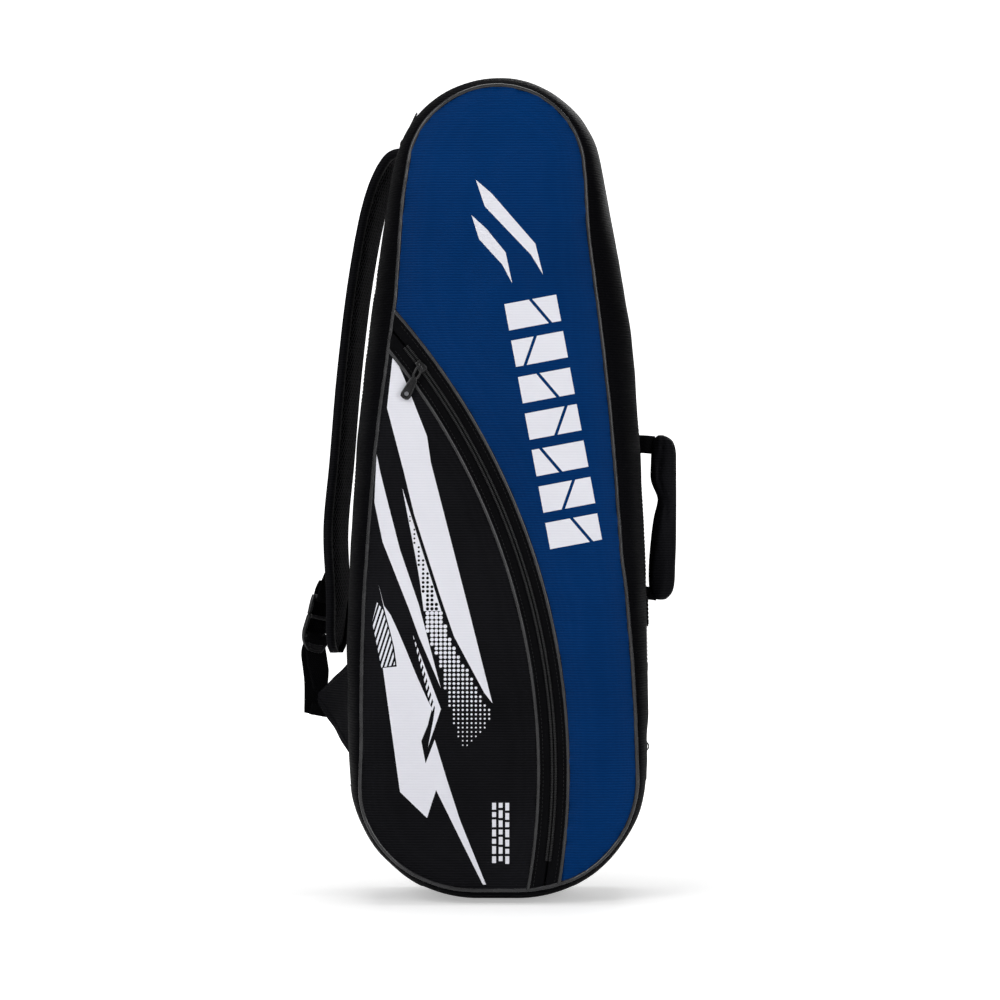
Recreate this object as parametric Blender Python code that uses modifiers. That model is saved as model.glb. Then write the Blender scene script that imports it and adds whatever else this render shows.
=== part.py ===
"""Racket tournament bag: an egg-shaped bag with a zipped lid, a front pocket, two shoulder straps and a side handle.

Metres, +Z up, the front faces -Y and +X is to the right. The origin is on the base, under the bag's middle.
"""

import math

import bmesh
import bpy
from mathutils import Matrix, Vector

# ---- Outline of the bag: a short base flat, a corner arc and a long side arc on each side, and a top arc
HEIGHT = 0.760
BASE_HALF = 0.018
CORNER_R = 0.120
TOP_R = 0.098
SIDE_R = 2.5

# ---- Depths: the lid in front of the main zip and the tray behind it
ZIP_Y = 0.015
LID_DEPTH = 0.090
TRAY_DEPTH = 0.050
FRONT_INSET = 0.0125
BACK_INSET = 0.008
FRONT_ROUND = 0.035
BACK_ROUND = 0.018

# ---- Sheet thicknesses
GUSSET_T = 0.003
PANEL_T = 0.004
POCKET_T = 0.0025
LINING_T = 0.0015
FOAM_T = 0.003
PATCH_T = 0.0015
PIPING_R = 0.0018
GAP = 0.0003

# ---- Zips: tapes with a coil row each, and a slot between the rows for the slider's neck
TAPE_T = 0.001
COIL_R = 0.0009
COIL_INSET = 0.0012
SLOT_HALF = 0.0007
NECK_HALF = 0.0004
NECK_SHARE = 0.6
RUN_GAP = 0.0004
MAIN_TAPE_W = 0.0060
SLIDER_L = 0.011
SLIDER_W = 0.0085
PLATE_T = 0.0018
KEEPER_T = 0.0012
ZIP_STEP = 4.5
MAIN_ZIP_LOW_ANGLE = 200.0
MAIN_ZIP_TOP_ANGLE = 159.0
SIDE_SLIDER_Z = 0.1375
HINGE_TOUCH_Z = 0.350
END_TAB_DOWN = 0.095
END_TAB_L = 0.022
END_TAB_PAST = 0.006
TOP_SLIDER_BACK = 0.002
PULL_HOLE_DOWN = 0.019
MAIN_HOLE_R = 0.0015
MAIN_PULL_L = 0.026
MAIN_PULL_W = 0.0075
MAIN_PULL_T = 0.0014

# ---- Front pocket: its zip runs on an arc about a point left of the bag
ZIP_CENTRE_X = -0.570
ZIP_CENTRE_Z = 0.122
ZIP_R = 0.621
ZIP_BLUE_W = 0.0130
ZIP_POCKET_W = 0.0140
SLIDER_CLOSED = 36.4
SLIDER_OPEN = -5.3
ZIP_END_PAST = 2.6
FLAP_PAST = 2.4
STITCH_PAST = 0.4
POCKET_DEPTH = 0.0165
POCKET_UNDERLAP = 0.004
FOAM_MARGIN = 0.006
CUT_PAST = 0.01

# ---- Pocket zip pull
PULL_ANGLE = -117.5
LINK_L = 0.013
LINK_W = 0.0072
LINK_T = 0.0014
LINK_WALL = 0.002
PULL_TAB_L = 0.0200
PULL_TAB_W = 0.0095
PULL_TAB_T = 0.0024
PULL_HOLE_R = 0.0019

# ---- Carry handle on the right side of the tray
HANDLE_LOW = 0.272
HANDLE_HIGH = 0.432
HANDLE_REACH = 0.0192
HANDLE_BACK = 0.004
HANDLE_WEB_W = 0.010
HANDLE_WEB_T = 0.003
WRAP_HALF_X = 0.0105
WRAP_HALF_Y = 0.0130
WRAP_END_GAP = 0.001
HANDLE_BEND = 0.012
HANDLE_OFF = 0.0012
STUB = 0.0045
STUB_SHARE = 1.05
STUB_H = 0.003
ANCHOR_H = 0.022
ANCHOR_PAST = 0.006
ANCHOR_HALF = 0.0125

# ---- Shoulder straps: each turns about the line from its top anchor to its wing's tip
STRAP_ANCHOR_X = 0.045
STRAP_ANCHOR_DOWN = 0.100
STRAP_STANDOFF = 0.0085
WING_LOW = 0.128
WING_HIGH = 0.2145
WING_TIP_Z = 0.178
WING_T = 0.0025
WING_TIP_HALF = 0.005
WING_LEFT_OUT = 0.0329
WING_LEFT_BACK = 0.025
WING_RIGHT_OUT = -0.0011
WING_RIGHT_BACK = 0.037
STRAP_W = 0.060
STRAP_T = 0.011
WEB_W = 0.025
WEB_T = 0.0015
TAIL_L = 0.075
LOCK_BAR = 0.004
LOCK_LOW = 0.055
LOCK_HIGH = 0.094
LOCK_OUT = 0.0215
LOCK_TAB = 0.012
LOCK_SIDE = 0.004
LOCK_PLAY = 0.001
LOCK_MIDDLE = 0.005
PATCH_PAST = 0.016
PATCH_DOWN = 0.018
PATCH_UP = 0.012

FRONT_Y = ZIP_Y - LID_DEPTH
BACK_Y = ZIP_Y + TRAY_DEPTH
PANEL_OUT_Y = FRONT_Y - GAP - PANEL_T
ROW_Y = SLOT_HALF + COIL_R

parts = bpy.data.collections.new("racket_tournament_bag")
guides = bpy.data.collections.new("cutters")

COLOURS = {
    "black_ripstop": ((0.012, 0.012, 0.014), 0.6),
    "blue_ripstop": ((0.010, 0.045, 0.20), 0.45),
    "piping": ((0.010, 0.010, 0.011), 0.25),
    "zip_tape": ((0.010, 0.010, 0.011), 0.8),
    "coil": ((0.012, 0.012, 0.013), 0.4),
    "slider": ((0.015, 0.015, 0.016), 0.3),
    "webbing": ((0.011, 0.011, 0.012), 0.75),
    "spacer_mesh": ((0.014, 0.014, 0.016), 0.8),
    "buckle": ((0.012, 0.012, 0.013), 0.4),
    "lining": ((0.03, 0.03, 0.032), 0.7),
    "foam": ((0.06, 0.06, 0.062), 0.9),
}


# ---------------------------------------------------------------- tools
def clear_scene():
    for obj in list(bpy.data.objects):
        bpy.data.objects.remove(obj)


def material(name):
    made = bpy.data.materials.get(name)
    if made:
        return made
    colour, rough = COLOURS[name]
    made = bpy.data.materials.new(name)
    made.use_nodes = True
    shader = made.node_tree.nodes["Principled BSDF"]
    shader.inputs["Base Color"].default_value = (*colour, 1.0)
    shader.inputs["Roughness"].default_value = rough
    shader.inputs["Metallic"].default_value = 0.0
    made.diffuse_color = (*colour, 1.0)
    return made


def place(obj, finish, parent=None):
    """Link a finished piece to the bag, give it its material and hang it on its axis."""
    for home in list(obj.users_collection):
        home.objects.unlink(obj)
    parts.objects.link(obj)
    obj.data.materials.clear()
    obj.data.materials.append(material(finish))
    if obj.type == "MESH":
        obj.data.shade_smooth()
        obj.data.set_sharp_from_angle(angle=math.radians(35))
    if parent:
        obj.parent = parent
        obj.matrix_parent_inverse = parent.matrix_world.inverted()
    return obj


def axis_empty(name, point):
    """An empty on a joint's axis."""
    empty = bpy.data.objects.new(name, None)
    empty.empty_display_size = 0.02
    empty.matrix_world = Matrix.Translation(point)
    guides.objects.link(empty)
    return empty


def mesh_object(name, bm, frame=None):
    if frame is not None:
        bm.transform(frame)
    bmesh.ops.recalc_face_normals(bm, faces=bm.faces)
    mesh = bpy.data.meshes.new(name)
    bm.to_mesh(mesh)
    bm.free()
    return bpy.data.objects.new(name, mesh)


def as_cutter(obj):
    for home in list(obj.users_collection):
        home.objects.unlink(obj)
    guides.objects.link(obj)
    obj.hide_render = True
    obj.display_type = "WIRE"
    return obj


def boolean(obj, cutter, operation):
    cut = obj.modifiers.new(f"{operation.lower()} {cutter.name}", "BOOLEAN")
    cut.operation = operation
    cut.object = cutter
    cut.solver = "EXACT"
    return obj


def solidify(obj, thickness, offset):
    wall = obj.modifiers.new("thickness", "SOLIDIFY")
    wall.thickness = thickness
    wall.offset = offset
    wall.use_even_offset = True
    return obj


def sheet(name, rows, thickness, offset, closed=False, frame=None):
    """A sheet lofted through rows of points, thickened by Solidify; closed joins the ends of each row."""
    bm = bmesh.new()
    verts = [[bm.verts.new(p) for p in row] for row in rows]
    count = len(rows[0])
    last = count if closed else count - 1
    for low, high in zip(verts, verts[1:]):
        for i in range(last):
            j = (i + 1) % count
            bm.faces.new((low[i], high[i], high[j], low[j]))
    if frame is not None:
        bm.transform(frame)
    mesh = bpy.data.meshes.new(name)
    bm.to_mesh(mesh)
    bm.free()
    return solidify(bpy.data.objects.new(name, mesh), thickness, offset)


def plate(name, loops, low_y, high_y):
    """A flat plate in the XZ plane from low_y to high_y, with one outline and any holes."""
    curve = bpy.data.curves.new(name, "CURVE")
    curve.dimensions = "2D"
    curve.fill_mode = "BOTH"
    curve.extrude = (high_y - low_y) / 2
    for loop in loops:
        spline = curve.splines.new("POLY")
        spline.points.add(len(loop) - 1)
        for point, (x, z) in zip(spline.points, loop):
            point.co = (x, z, 0, 1)
        spline.use_cyclic_u = True
    obj = bpy.data.objects.new(name, curve)
    bpy.context.scene.collection.objects.link(obj)
    obj.matrix_world = Matrix.Translation((0, (low_y + high_y) / 2, 0)) @ Matrix.Rotation(math.pi / 2, 4, "X")
    return curve_to_mesh(obj)


def curve_to_mesh(obj):
    """The curve as a mesh with welded caps, in the same place."""
    bpy.context.view_layer.update()
    seen = obj.evaluated_get(bpy.context.evaluated_depsgraph_get())
    mesh = bpy.data.meshes.new_from_object(seen)
    bm = bmesh.new()
    bm.from_mesh(mesh)
    bmesh.ops.remove_doubles(bm, verts=bm.verts, dist=1e-6)
    bmesh.ops.recalc_face_normals(bm, faces=bm.faces)
    bm.to_mesh(mesh)
    bm.free()
    made = bpy.data.objects.new(obj.name, mesh)
    made.matrix_world = obj.matrix_world.copy()
    name = obj.name
    bpy.data.objects.remove(obj)
    made.name = name
    return made


def tube(name, points, radius, cyclic=False):
    """A round cord through points: a POLY curve with a bevel."""
    curve = bpy.data.curves.new(name, "CURVE")
    curve.dimensions = "3D"
    curve.bevel_depth = radius
    curve.bevel_resolution = 2
    curve.use_fill_caps = not cyclic
    spline = curve.splines.new("POLY")
    spline.points.add(len(points) - 1)
    for point, co in zip(spline.points, points):
        point.co = (*co, 1)
    spline.use_cyclic_u = cyclic
    obj = bpy.data.objects.new(name, curve)
    return obj


def box(bm, low, high):
    made = bmesh.ops.create_cube(bm, size=1.0)["verts"]
    size = Vector(high) - Vector(low)
    bmesh.ops.scale(bm, vec=size, verts=made)
    bmesh.ops.translate(bm, vec=(Vector(low) + Vector(high)) / 2, verts=made)
    return made


def box_object(name, low, high, frame=None):
    bm = bmesh.new()
    box(bm, low, high)
    return mesh_object(name, bm, frame)


def joined(name, pieces):
    """One closed solid from overlapping pieces."""
    body = pieces[0]
    body.name = name
    for piece in pieces[1:]:
        boolean(body, as_cutter(piece), "UNION")
    return body


def disc_cutter(name, radius, low_y, high_y):
    """A big disc about the pocket zip's centre."""
    bpy.ops.mesh.primitive_cylinder_add(vertices=360, radius=radius, depth=high_y - low_y)
    obj = bpy.context.object
    obj.name = name
    obj.rotation_euler = (math.pi / 2, 0, 0)
    obj.location = (ZIP_CENTRE_X, (low_y + high_y) / 2, ZIP_CENTRE_Z)
    return as_cutter(obj)


def smooth_path(points, per_span=4):
    """Catmull-Rom points through a list of control points."""
    ends = [2 * points[0] - points[1], *points, 2 * points[-1] - points[-2]]
    out = []
    for a, b, c, d in zip(ends, ends[1:], ends[2:], ends[3:]):
        for k in range(per_span):
            t = k / per_span
            out.append(
                0.5 * (2 * b + (c - a) * t + (2 * a - 5 * b + 4 * c - d) * t * t + (3 * b - a - 3 * c + d) * t**3)
            )
    return [*out, points[-1].copy()]


def ribbon(name, path, across, half_widths, thickness, columns=2, frame=None):
    """A flat strap along a path, as wide as half_widths says on each side, thickened evenly."""
    rows = []
    for point, half in zip(path, half_widths):
        rows.append([point + across * half * (2 * c / columns - 1) for c in range(columns + 1)])
    return sheet(name, rows, thickness, 0.0, frame=frame)


# ---------------------------------------------------------------- the outline
class Outline:
    """The bag's outline as a function of the angle of its outward normal, -90 to 270 degrees."""

    def __init__(self):
        low = Vector((BASE_HALF, CORNER_R))
        high = Vector((0.0, HEIGHT - TOP_R))
        to_low = SIDE_R - CORNER_R
        to_high = SIDE_R - TOP_R
        gap = high - low
        along = (to_low**2 - to_high**2 + gap.length_squared) / (2 * gap.length)
        up = gap.normalized()
        left = Vector((-up.y, up.x))
        side = low + up * along + left * math.sqrt(to_low**2 - along**2)
        self.low, self.high, self.side = low, high, side
        self.turn_low = math.degrees(math.atan2(low.y - side.y, low.x - side.x))
        self.turn_high = math.degrees(math.atan2(high.y - side.y, high.x - side.x))

    def arc(self, angle):
        """Centre and radius of the right-hand arc whose normal has this angle, -90 to 90."""
        if angle < self.turn_low:
            return self.low, CORNER_R
        if angle < self.turn_high:
            return self.side, SIDE_R
        return self.high, TOP_R

    def at(self, angle, inset=0.0):
        """(x, z) on the outline, inset along the normal."""
        if angle > 270:
            angle -= 360
        mirrored = angle > 90
        own = 180 - angle if mirrored else angle
        centre, radius = self.arc(own)
        x = centre.x + (radius - inset) * math.cos(math.radians(own))
        z = centre.y + (radius - inset) * math.sin(math.radians(own))
        return (-x if mirrored else x, z)

    def angles(self, start, stop, tight=9.0):
        """Sample angles between two angles, up to tight apart on the tight arcs; 270 is passed as two points."""
        low, high = self.turn_low, self.turn_high
        marks = [low + 360 * k for k in (0, 1)] + [high + 360 * k for k in (0, 1)]
        marks += [180 - low, 180 - high, 270, 270 + 1e-4]
        stops = sorted({start, stop, *[m for m in marks if start < m < stop]})
        out = [start]
        for a, b in zip(stops, stops[1:]):
            middle = self.arc_of_any((a + b) / 2)
            step = 1.3 if middle == SIDE_R else tight
            count = max(1, math.ceil((b - a) / step)) if b - a > 1e-3 else 1
            out += [a + (b - a) * (k + 1) / count for k in range(count)]
        return out

    def arc_of_any(self, angle):
        if angle > 270:
            angle -= 360
        return self.arc(180 - angle if angle > 90 else angle)[1]

    def height_angle(self, z):
        """Normal angle on the right side arc at a height."""
        return math.degrees(math.asin((z - self.side.y) / SIDE_R))

    def loop(self, inset):
        return [self.at(a, inset) for a in self.angles(-90, 270)]

    def side_x(self, z):
        return self.at(self.height_angle(z))[0]


def rounding(seam_y, flat_y, inset, steps=3):
    """(y, inset) down a quarter ellipse from the seam to where the gusset is at its full size."""
    out = []
    for k in range(steps + 1):
        turn = math.pi / 2 * k / steps
        out.append((seam_y + (flat_y - seam_y) * (1 - math.cos(turn)), inset * (1 - math.sin(turn))))
    return out


def gusset(name, outline, profile, start=-90, stop=270):
    """A band round the outline, through (y, inset) stations, thickened inwards."""
    closed = stop - start >= 360
    rows = []
    for y, inset in profile:
        rows.append([(x, y, z) for x, z in (outline.at(a, inset) for a in outline.angles(start, stop))])
    return sheet(name, rows, GUSSET_T, -1.0, closed)


def tape(name, outline, low_y, high_y, start, stop):
    """A strip of zip tape round part of the outline."""
    angles = outline.angles(start, stop, ZIP_STEP)
    inset = COIL_INSET + COIL_R + RUN_GAP
    rows = [[(x, y, z) for x, z in (outline.at(a, inset) for a in angles)] for y in (low_y, high_y)]
    return sheet(name, rows, TAPE_T, -1.0)


def coil_row(name, outline, y, start, stop):
    angles = outline.angles(start, stop, ZIP_STEP)
    points = [(x, y, z) for x, z in (outline.at(a, COIL_INSET) for a in angles)]
    return tube(name, points, COIL_R)


# ---------------------------------------------------------------- the shell
def make_tray(outline, zip_start, zip_stop):
    """The rear half: back panel, foam, gusset, piping, the fixed half of the main zip and the hinge web."""
    edge = ZIP_Y + ROW_Y + MAIN_TAPE_W
    seam = BACK_Y
    profile = [(edge, 0.0)] + [
        (seam - (y - ZIP_Y), inset)
        for y, inset in reversed(rounding(ZIP_Y, ZIP_Y + BACK_ROUND, BACK_INSET))
    ]
    place(gusset("rear_gusset", outline, profile), "black_ripstop")
    rim = BACK_INSET + 2 * PIPING_R + GAP
    place(plate("back_panel", [outline.loop(rim)], seam + GAP, seam + GAP + PANEL_T), "black_ripstop")
    foam_rim = rim + FOAM_MARGIN
    place(plate("back_foam", [outline.loop(foam_rim)], seam - FOAM_T, seam), "foam")
    piping = [(x, seam + GAP + PIPING_R, z) for x, z in outline.loop(BACK_INSET + PIPING_R)]
    place(tube("rear_piping", piping, PIPING_R, cyclic=True), "piping")
    place(tape("main_zip_tape_rear", outline, ZIP_Y + SLOT_HALF, edge - GAP, zip_start, zip_stop), "zip_tape")
    place(coil_row("main_zip_coil_rear", outline, ZIP_Y + ROW_Y, zip_start, zip_stop), "coil")
    web_y = ZIP_Y - ROW_Y - MAIN_TAPE_W
    clear = math.degrees(GAP / TOP_R)
    web = [(web_y + GAP, 0.0), (edge - GAP, 0.0)]
    place(gusset("hinge_web", outline, web, zip_stop - 360 + clear, zip_start - clear), "black_ripstop")


def make_lid(outline, zip_start, zip_stop, hinge):
    """The front half's gusset, piping, panels, pocket tray and its half of the main zip."""
    edge = ZIP_Y - ROW_Y - MAIN_TAPE_W
    profile = rounding(FRONT_Y, FRONT_Y + FRONT_ROUND, FRONT_INSET, 4) + [(edge, 0.0)]
    place(gusset("front_gusset", outline, profile), "black_ripstop", hinge)
    piping = [(x, FRONT_Y - GAP - PIPING_R, z) for x, z in outline.loop(FRONT_INSET + PIPING_R)]
    place(tube("front_piping", piping, PIPING_R, cyclic=True), "piping", hinge)
    place(tape("main_zip_tape_front", outline, edge + GAP, ZIP_Y - SLOT_HALF, zip_start, zip_stop), "zip_tape", hinge)
    place(coil_row("main_zip_coil_front", outline, ZIP_Y - ROW_Y, zip_start, zip_stop), "coil", hinge)

    rim = FRONT_INSET + 2 * PIPING_R + GAP
    low_y, high_y = PANEL_OUT_Y - CUT_PAST, FRONT_Y + POCKET_DEPTH + CUT_PAST
    blue = plate("front_panel", [outline.loop(rim)], PANEL_OUT_Y, PANEL_OUT_Y + PANEL_T)
    blue_edge = ZIP_R + ZIP_BLUE_W + PIPING_R + GAP
    boolean(blue, disc_cutter("blue_edge_cutter", blue_edge, low_y, high_y), "DIFFERENCE")
    place(blue, "blue_ripstop", hinge)

    tray_out = FRONT_INSET + GUSSET_T + GAP
    outer = plate("pocket_lining", [outline.loop(tray_out)], FRONT_Y, FRONT_Y + POCKET_DEPTH + LINING_T)
    lining_edge = blue_edge + POCKET_UNDERLAP
    outer_disc = disc_cutter("lining_edge_cutter", lining_edge, low_y, high_y + CUT_PAST)
    boolean(outer, outer_disc, "INTERSECT")
    hollow_low, hollow_high = FRONT_Y - CUT_PAST, FRONT_Y + POCKET_DEPTH
    inner = plate("pocket_hollow_cutter", [outline.loop(tray_out + LINING_T)], hollow_low, hollow_high)
    guides.objects.link(inner)
    hollow_disc = disc_cutter("hollow_edge_cutter", lining_edge - LINING_T, low_y - CUT_PAST, high_y + CUT_PAST)
    boolean(inner, hollow_disc, "INTERSECT")
    boolean(outer, as_cutter(inner), "DIFFERENCE")
    place(outer, "lining", hinge)


def polar(radius, angle):
    """(x, z) about the pocket zip's centre."""
    turn = math.radians(angle)
    return (ZIP_CENTRE_X + radius * math.cos(turn), ZIP_CENTRE_Z + radius * math.sin(turn))


def arc_points(radius, start, stop, step=1.5):
    count = max(1, math.ceil(abs(stop - start) / step))
    return [polar(radius, start + (stop - start) * k / count) for k in range(count + 1)]


def flap_span():
    """Angles between which the pocket's mouth opens: just inside where the slider parks at each end."""
    return SLIDER_OPEN + FLAP_PAST, SLIDER_CLOSED - FLAP_PAST


def mouth_chord():
    """The two ends of the pocket mouth's fold line, in (x, z)."""
    low, high = flap_span()
    radius = ZIP_R - ZIP_POCKET_W - PIPING_R
    return Vector(polar(radius, low)), Vector(polar(radius, high))


def make_pocket(outline, hinge, mouth):
    """The pocket's face, its piping and its zip; the mouth's lip is on its own fold."""
    low_y, high_y = PANEL_OUT_Y - CUT_PAST, FRONT_Y + CUT_PAST
    rim = FRONT_INSET + 2 * PIPING_R + GAP
    edge = ZIP_R - ZIP_POCKET_W - PIPING_R - GAP
    low, high = mouth_chord()
    along = (high - low).normalized()
    out = Vector((along.y, -along.x))
    middle = (low + high) / 2
    fold = Matrix(
        (
            (along.x, 0, out.x, middle.x),
            (0, 1, 0, 0),
            (along.y, 0, out.y, middle.y),
            (0, 0, 0, 1),
        )
    )
    reach = (high - low).length
    far = box_object("fold_far_cutter", (-reach, low_y, -GAP / 2), (reach, high_y, reach), fold)
    near = box_object("fold_near_cutter", (-2 * reach, low_y, -2 * reach), (2 * reach, high_y, GAP / 2), fold)
    disc = disc_cutter("pocket_edge_cutter", edge, low_y - CUT_PAST, high_y + CUT_PAST)
    top_y = PANEL_OUT_Y + POCKET_T

    panel = plate("pocket_panel", [outline.loop(rim)], PANEL_OUT_Y, top_y)
    boolean(panel, disc, "INTERSECT")
    boolean(panel, as_cutter(far), "DIFFERENCE")
    place(panel, "black_ripstop", hinge)
    lip = plate("pocket_lip", [outline.loop(rim)], PANEL_OUT_Y, top_y)
    boolean(lip, disc, "INTERSECT")
    boolean(lip, as_cutter(near), "DIFFERENCE")
    place(lip, "black_ripstop", mouth)

    start, stop = SLIDER_OPEN - ZIP_END_PAST, SLIDER_CLOSED + ZIP_END_PAST
    flap_low, flap_high = flap_span()
    hair = math.degrees(GAP / ZIP_R)
    piping_y = PANEL_OUT_Y + PIPING_R
    upper = [(x, piping_y, z) for x, z in arc_points(ZIP_R + ZIP_BLUE_W, start, stop)]
    lower_r = ZIP_R - ZIP_POCKET_W
    lower = [(x, piping_y, z) for x, z in arc_points(lower_r, flap_low + hair, flap_high - hair)]
    place(tube("pocket_piping_upper", upper, PIPING_R), "piping", hinge)
    place(tube("pocket_piping_lower", lower, PIPING_R), "piping", mouth)

    tape_low = PANEL_OUT_Y + COIL_R + RUN_GAP
    tape_high = tape_low + TAPE_T
    outer_r = ZIP_R + ZIP_BLUE_W - PIPING_R - GAP
    inner_r = lower_r + PIPING_R + GAP
    slot_low, slot_high = ZIP_R - SLOT_HALF, ZIP_R + SLOT_HALF
    end = ZIP_END_PAST - STITCH_PAST
    fixed = arc_points(outer_r, start, stop)
    fixed += arc_points(inner_r, stop, flap_high + hair)
    fixed += arc_points(slot_low, flap_high + hair, SLIDER_CLOSED + end)
    fixed += arc_points(slot_high, SLIDER_CLOSED + end, SLIDER_OPEN - end)
    fixed += arc_points(slot_low, SLIDER_OPEN - end, flap_low - hair)
    fixed += arc_points(inner_r, flap_low - hair, start)
    place(plate("pocket_zip_tape_upper", [fixed], tape_low, tape_high), "zip_tape", hinge)
    loose = arc_points(slot_low, flap_low + hair, flap_high - hair)
    loose += arc_points(inner_r, flap_high - hair, flap_low + hair)
    place(plate("pocket_zip_tape_lower", [loose], tape_low, tape_high), "zip_tape", mouth)
    upper_row = [(x, PANEL_OUT_Y, z) for x, z in arc_points(ZIP_R + ROW_Y, SLIDER_OPEN - end, SLIDER_CLOSED + end)]
    lower_row = [(x, PANEL_OUT_Y, z) for x, z in arc_points(ZIP_R - ROW_Y, flap_low + hair, flap_high - hair)]
    place(tube("pocket_coil_upper", upper_row, COIL_R), "coil", hinge)
    place(tube("pocket_coil_lower", lower_row, COIL_R), "coil", mouth)


# ---------------------------------------------------------------- sliders and pulls
def slider_body(name, frame):
    """A zip slider about the coil rows: local X along the zip, Z outwards, Y across the two rows."""
    top = COIL_R + RUN_GAP
    keeper = -(COIL_R + RUN_GAP + TAPE_T + RUN_GAP)
    half_l, half_w = SLIDER_L / 2, SLIDER_W / 2
    neck_l = half_l * NECK_SHARE
    face = box_object(name, (-half_l, -half_w, top), (half_l, half_w, top + PLATE_T), frame)
    neck_low = (-neck_l, -NECK_HALF, keeper - KEEPER_T / 2)
    neck = box_object(f"{name}_neck", neck_low, (neck_l, NECK_HALF, top + PLATE_T / 2), frame)
    back = box_object(f"{name}_keeper", (-half_l, -half_w, keeper - KEEPER_T), (half_l, half_w, keeper), frame)
    return joined(name, [face, neck, back])


def rounded_loop(low, high, half, steps=6):
    """A stadium-ended bar outline from low to high along X, half as wide on each side as half."""
    points = []
    for k in range(steps + 1):
        turn = -math.pi / 2 + math.pi * k / steps
        points.append((high - half + half * math.cos(turn), half * math.sin(turn)))
    for k in range(steps + 1):
        turn = math.pi / 2 + math.pi * k / steps
        points.append((low + half + half * math.cos(turn), half * math.sin(turn)))
    return points


def circle_loop(x, radius, steps=14):
    turns = [2 * math.pi * k / steps for k in range(steps)]
    return [(x + radius * math.cos(t), radius * math.sin(t)) for t in turns]


def flat_piece(name, loops, low, high, frame):
    """A flat plate drawn in a frame's XY plane, from low to high along its Z."""
    obj = plate(name, loops, low, high)
    obj.matrix_world = frame @ Matrix.Translation((0, 0, (low + high) / 2))
    return obj


def make_pocket_slider(carrier, link_axis, tab_axis):
    """The pocket's slider at its closed end, with its link and its pull tab."""
    turn = math.radians(SLIDER_CLOSED)
    x, z = polar(ZIP_R, SLIDER_CLOSED)
    frame = Matrix(
        (
            (math.sin(turn), math.cos(turn), 0, x),
            (0, 0, -1, PANEL_OUT_Y),
            (-math.cos(turn), math.sin(turn), 0, z),
            (0, 0, 0, 1),
        )
    )
    place(slider_body("pocket_slider", frame), "slider", carrier)
    pull = pull_frame()
    top = COIL_R + RUN_GAP + PLATE_T + RUN_GAP
    link = [rounded_loop(0, LINK_L, LINK_W / 2), rounded_loop(LINK_WALL, LINK_L - LINK_WALL, LINK_W / 2 - LINK_WALL)]
    place(flat_piece("pocket_pull_link", link, top, top + LINK_T, pull), "slider", link_axis)
    start = LINK_L + GAP
    tab = [rounded_loop(start, start + PULL_TAB_L, PULL_TAB_W / 2)]
    tab.append(circle_loop(start + PULL_TAB_L - PULL_TAB_W / 2, PULL_HOLE_R))
    low = top + (LINK_T - PULL_TAB_T) / 2
    place(flat_piece("pocket_pull_tab", tab, low, low + PULL_TAB_T, pull), "slider", tab_axis)


def pull_frame():
    """Local X down the pull, Z outwards from the bag's front, at the slider."""
    turn = math.radians(PULL_ANGLE)
    x, z = polar(ZIP_R, SLIDER_CLOSED)
    return Matrix(
        (
            (math.cos(turn), -math.sin(turn), 0, x),
            (0, 0, -1, PANEL_OUT_Y),
            (math.sin(turn), math.cos(turn), 0, z),
            (0, 0, 0, 1),
        )
    )


def main_slider_frame(outline, angle, back):
    """Frame of a slider on the main zip: X along the zip, down it at rest if back is 1, Z outwards."""
    x, z = outline.at(angle, COIL_INSET)
    turn = math.radians(angle)
    out = Vector((math.cos(turn), 0, math.sin(turn)))
    along = Vector((math.sin(turn), 0, -math.cos(turn))) * back
    across = out.cross(along)
    frame = Matrix((along, across, out)).transposed().to_4x4()
    frame.translation = (x, ZIP_Y, z)
    return frame


def make_main_slider(name, outline, angle, back, carrier, pull_axis):
    frame = main_slider_frame(outline, angle, back)
    place(slider_body(name, frame), "slider", carrier)
    start = SLIDER_L / 2 + GAP
    low = pull_low()
    loop = [
        rounded_loop(start, start + MAIN_PULL_L, MAIN_PULL_W / 2),
        circle_loop(start + PULL_HOLE_DOWN, MAIN_HOLE_R),
    ]
    place(flat_piece(f"{name}_pull", loop, low, low + MAIN_PULL_T, frame), "slider", pull_axis)


def pull_low():
    """Height of a main slider's pull over the coil's middle: just proud of the gusset."""
    return COIL_INSET + GAP


def pull_pivot(frame):
    """World point of a main slider's pull hinge."""
    return frame @ Vector((SLIDER_L / 2 + GAP / 2, 0, pull_low() + MAIN_PULL_T))


# ---------------------------------------------------------------- end tabs, handle, straps
def make_end_tabs(outline, zip_start, zip_stop):
    """Fabric patches over the ends of the main zip, on the hinge web and the tray."""
    low_y = ZIP_Y - ROW_Y - MAIN_TAPE_W + GAP
    high_y = ZIP_Y + ROW_Y + MAIN_TAPE_W + END_TAB_PAST
    inset = -GAP - PATCH_T
    upper = zip_stop - 360 + math.degrees(4 * GAP / TOP_R)
    lower = zip_start - math.degrees(4 * GAP / CORNER_R)
    spans = {
        "zip_end_tab_upper": (upper, 180 - outline.height_angle(HEIGHT - END_TAB_DOWN)),
        "zip_end_tab_lower": (lower - math.degrees(END_TAB_L / CORNER_R), lower),
    }
    for name, (start, stop) in spans.items():
        angles = outline.angles(start, stop)
        rows = [[(x, y, z) for x, z in (outline.at(a, inset) for a in angles)] for y in (low_y, high_y)]
        place(sheet(name, rows, PATCH_T, -1.0), "black_ripstop")


def handle_x(outline):
    """The handle's fold line stands this far out of the tray's side."""
    return max(outline.side_x(HANDLE_LOW), outline.side_x(HANDLE_HIGH)) + STUB


def handle_y():
    """The handle sits between the main zip and the rounding to the back seam, a little to the rear."""
    zip_edge = ZIP_Y + ROW_Y + MAIN_TAPE_W
    return (zip_edge + BACK_Y - BACK_ROUND) / 2 + HANDLE_BACK


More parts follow.
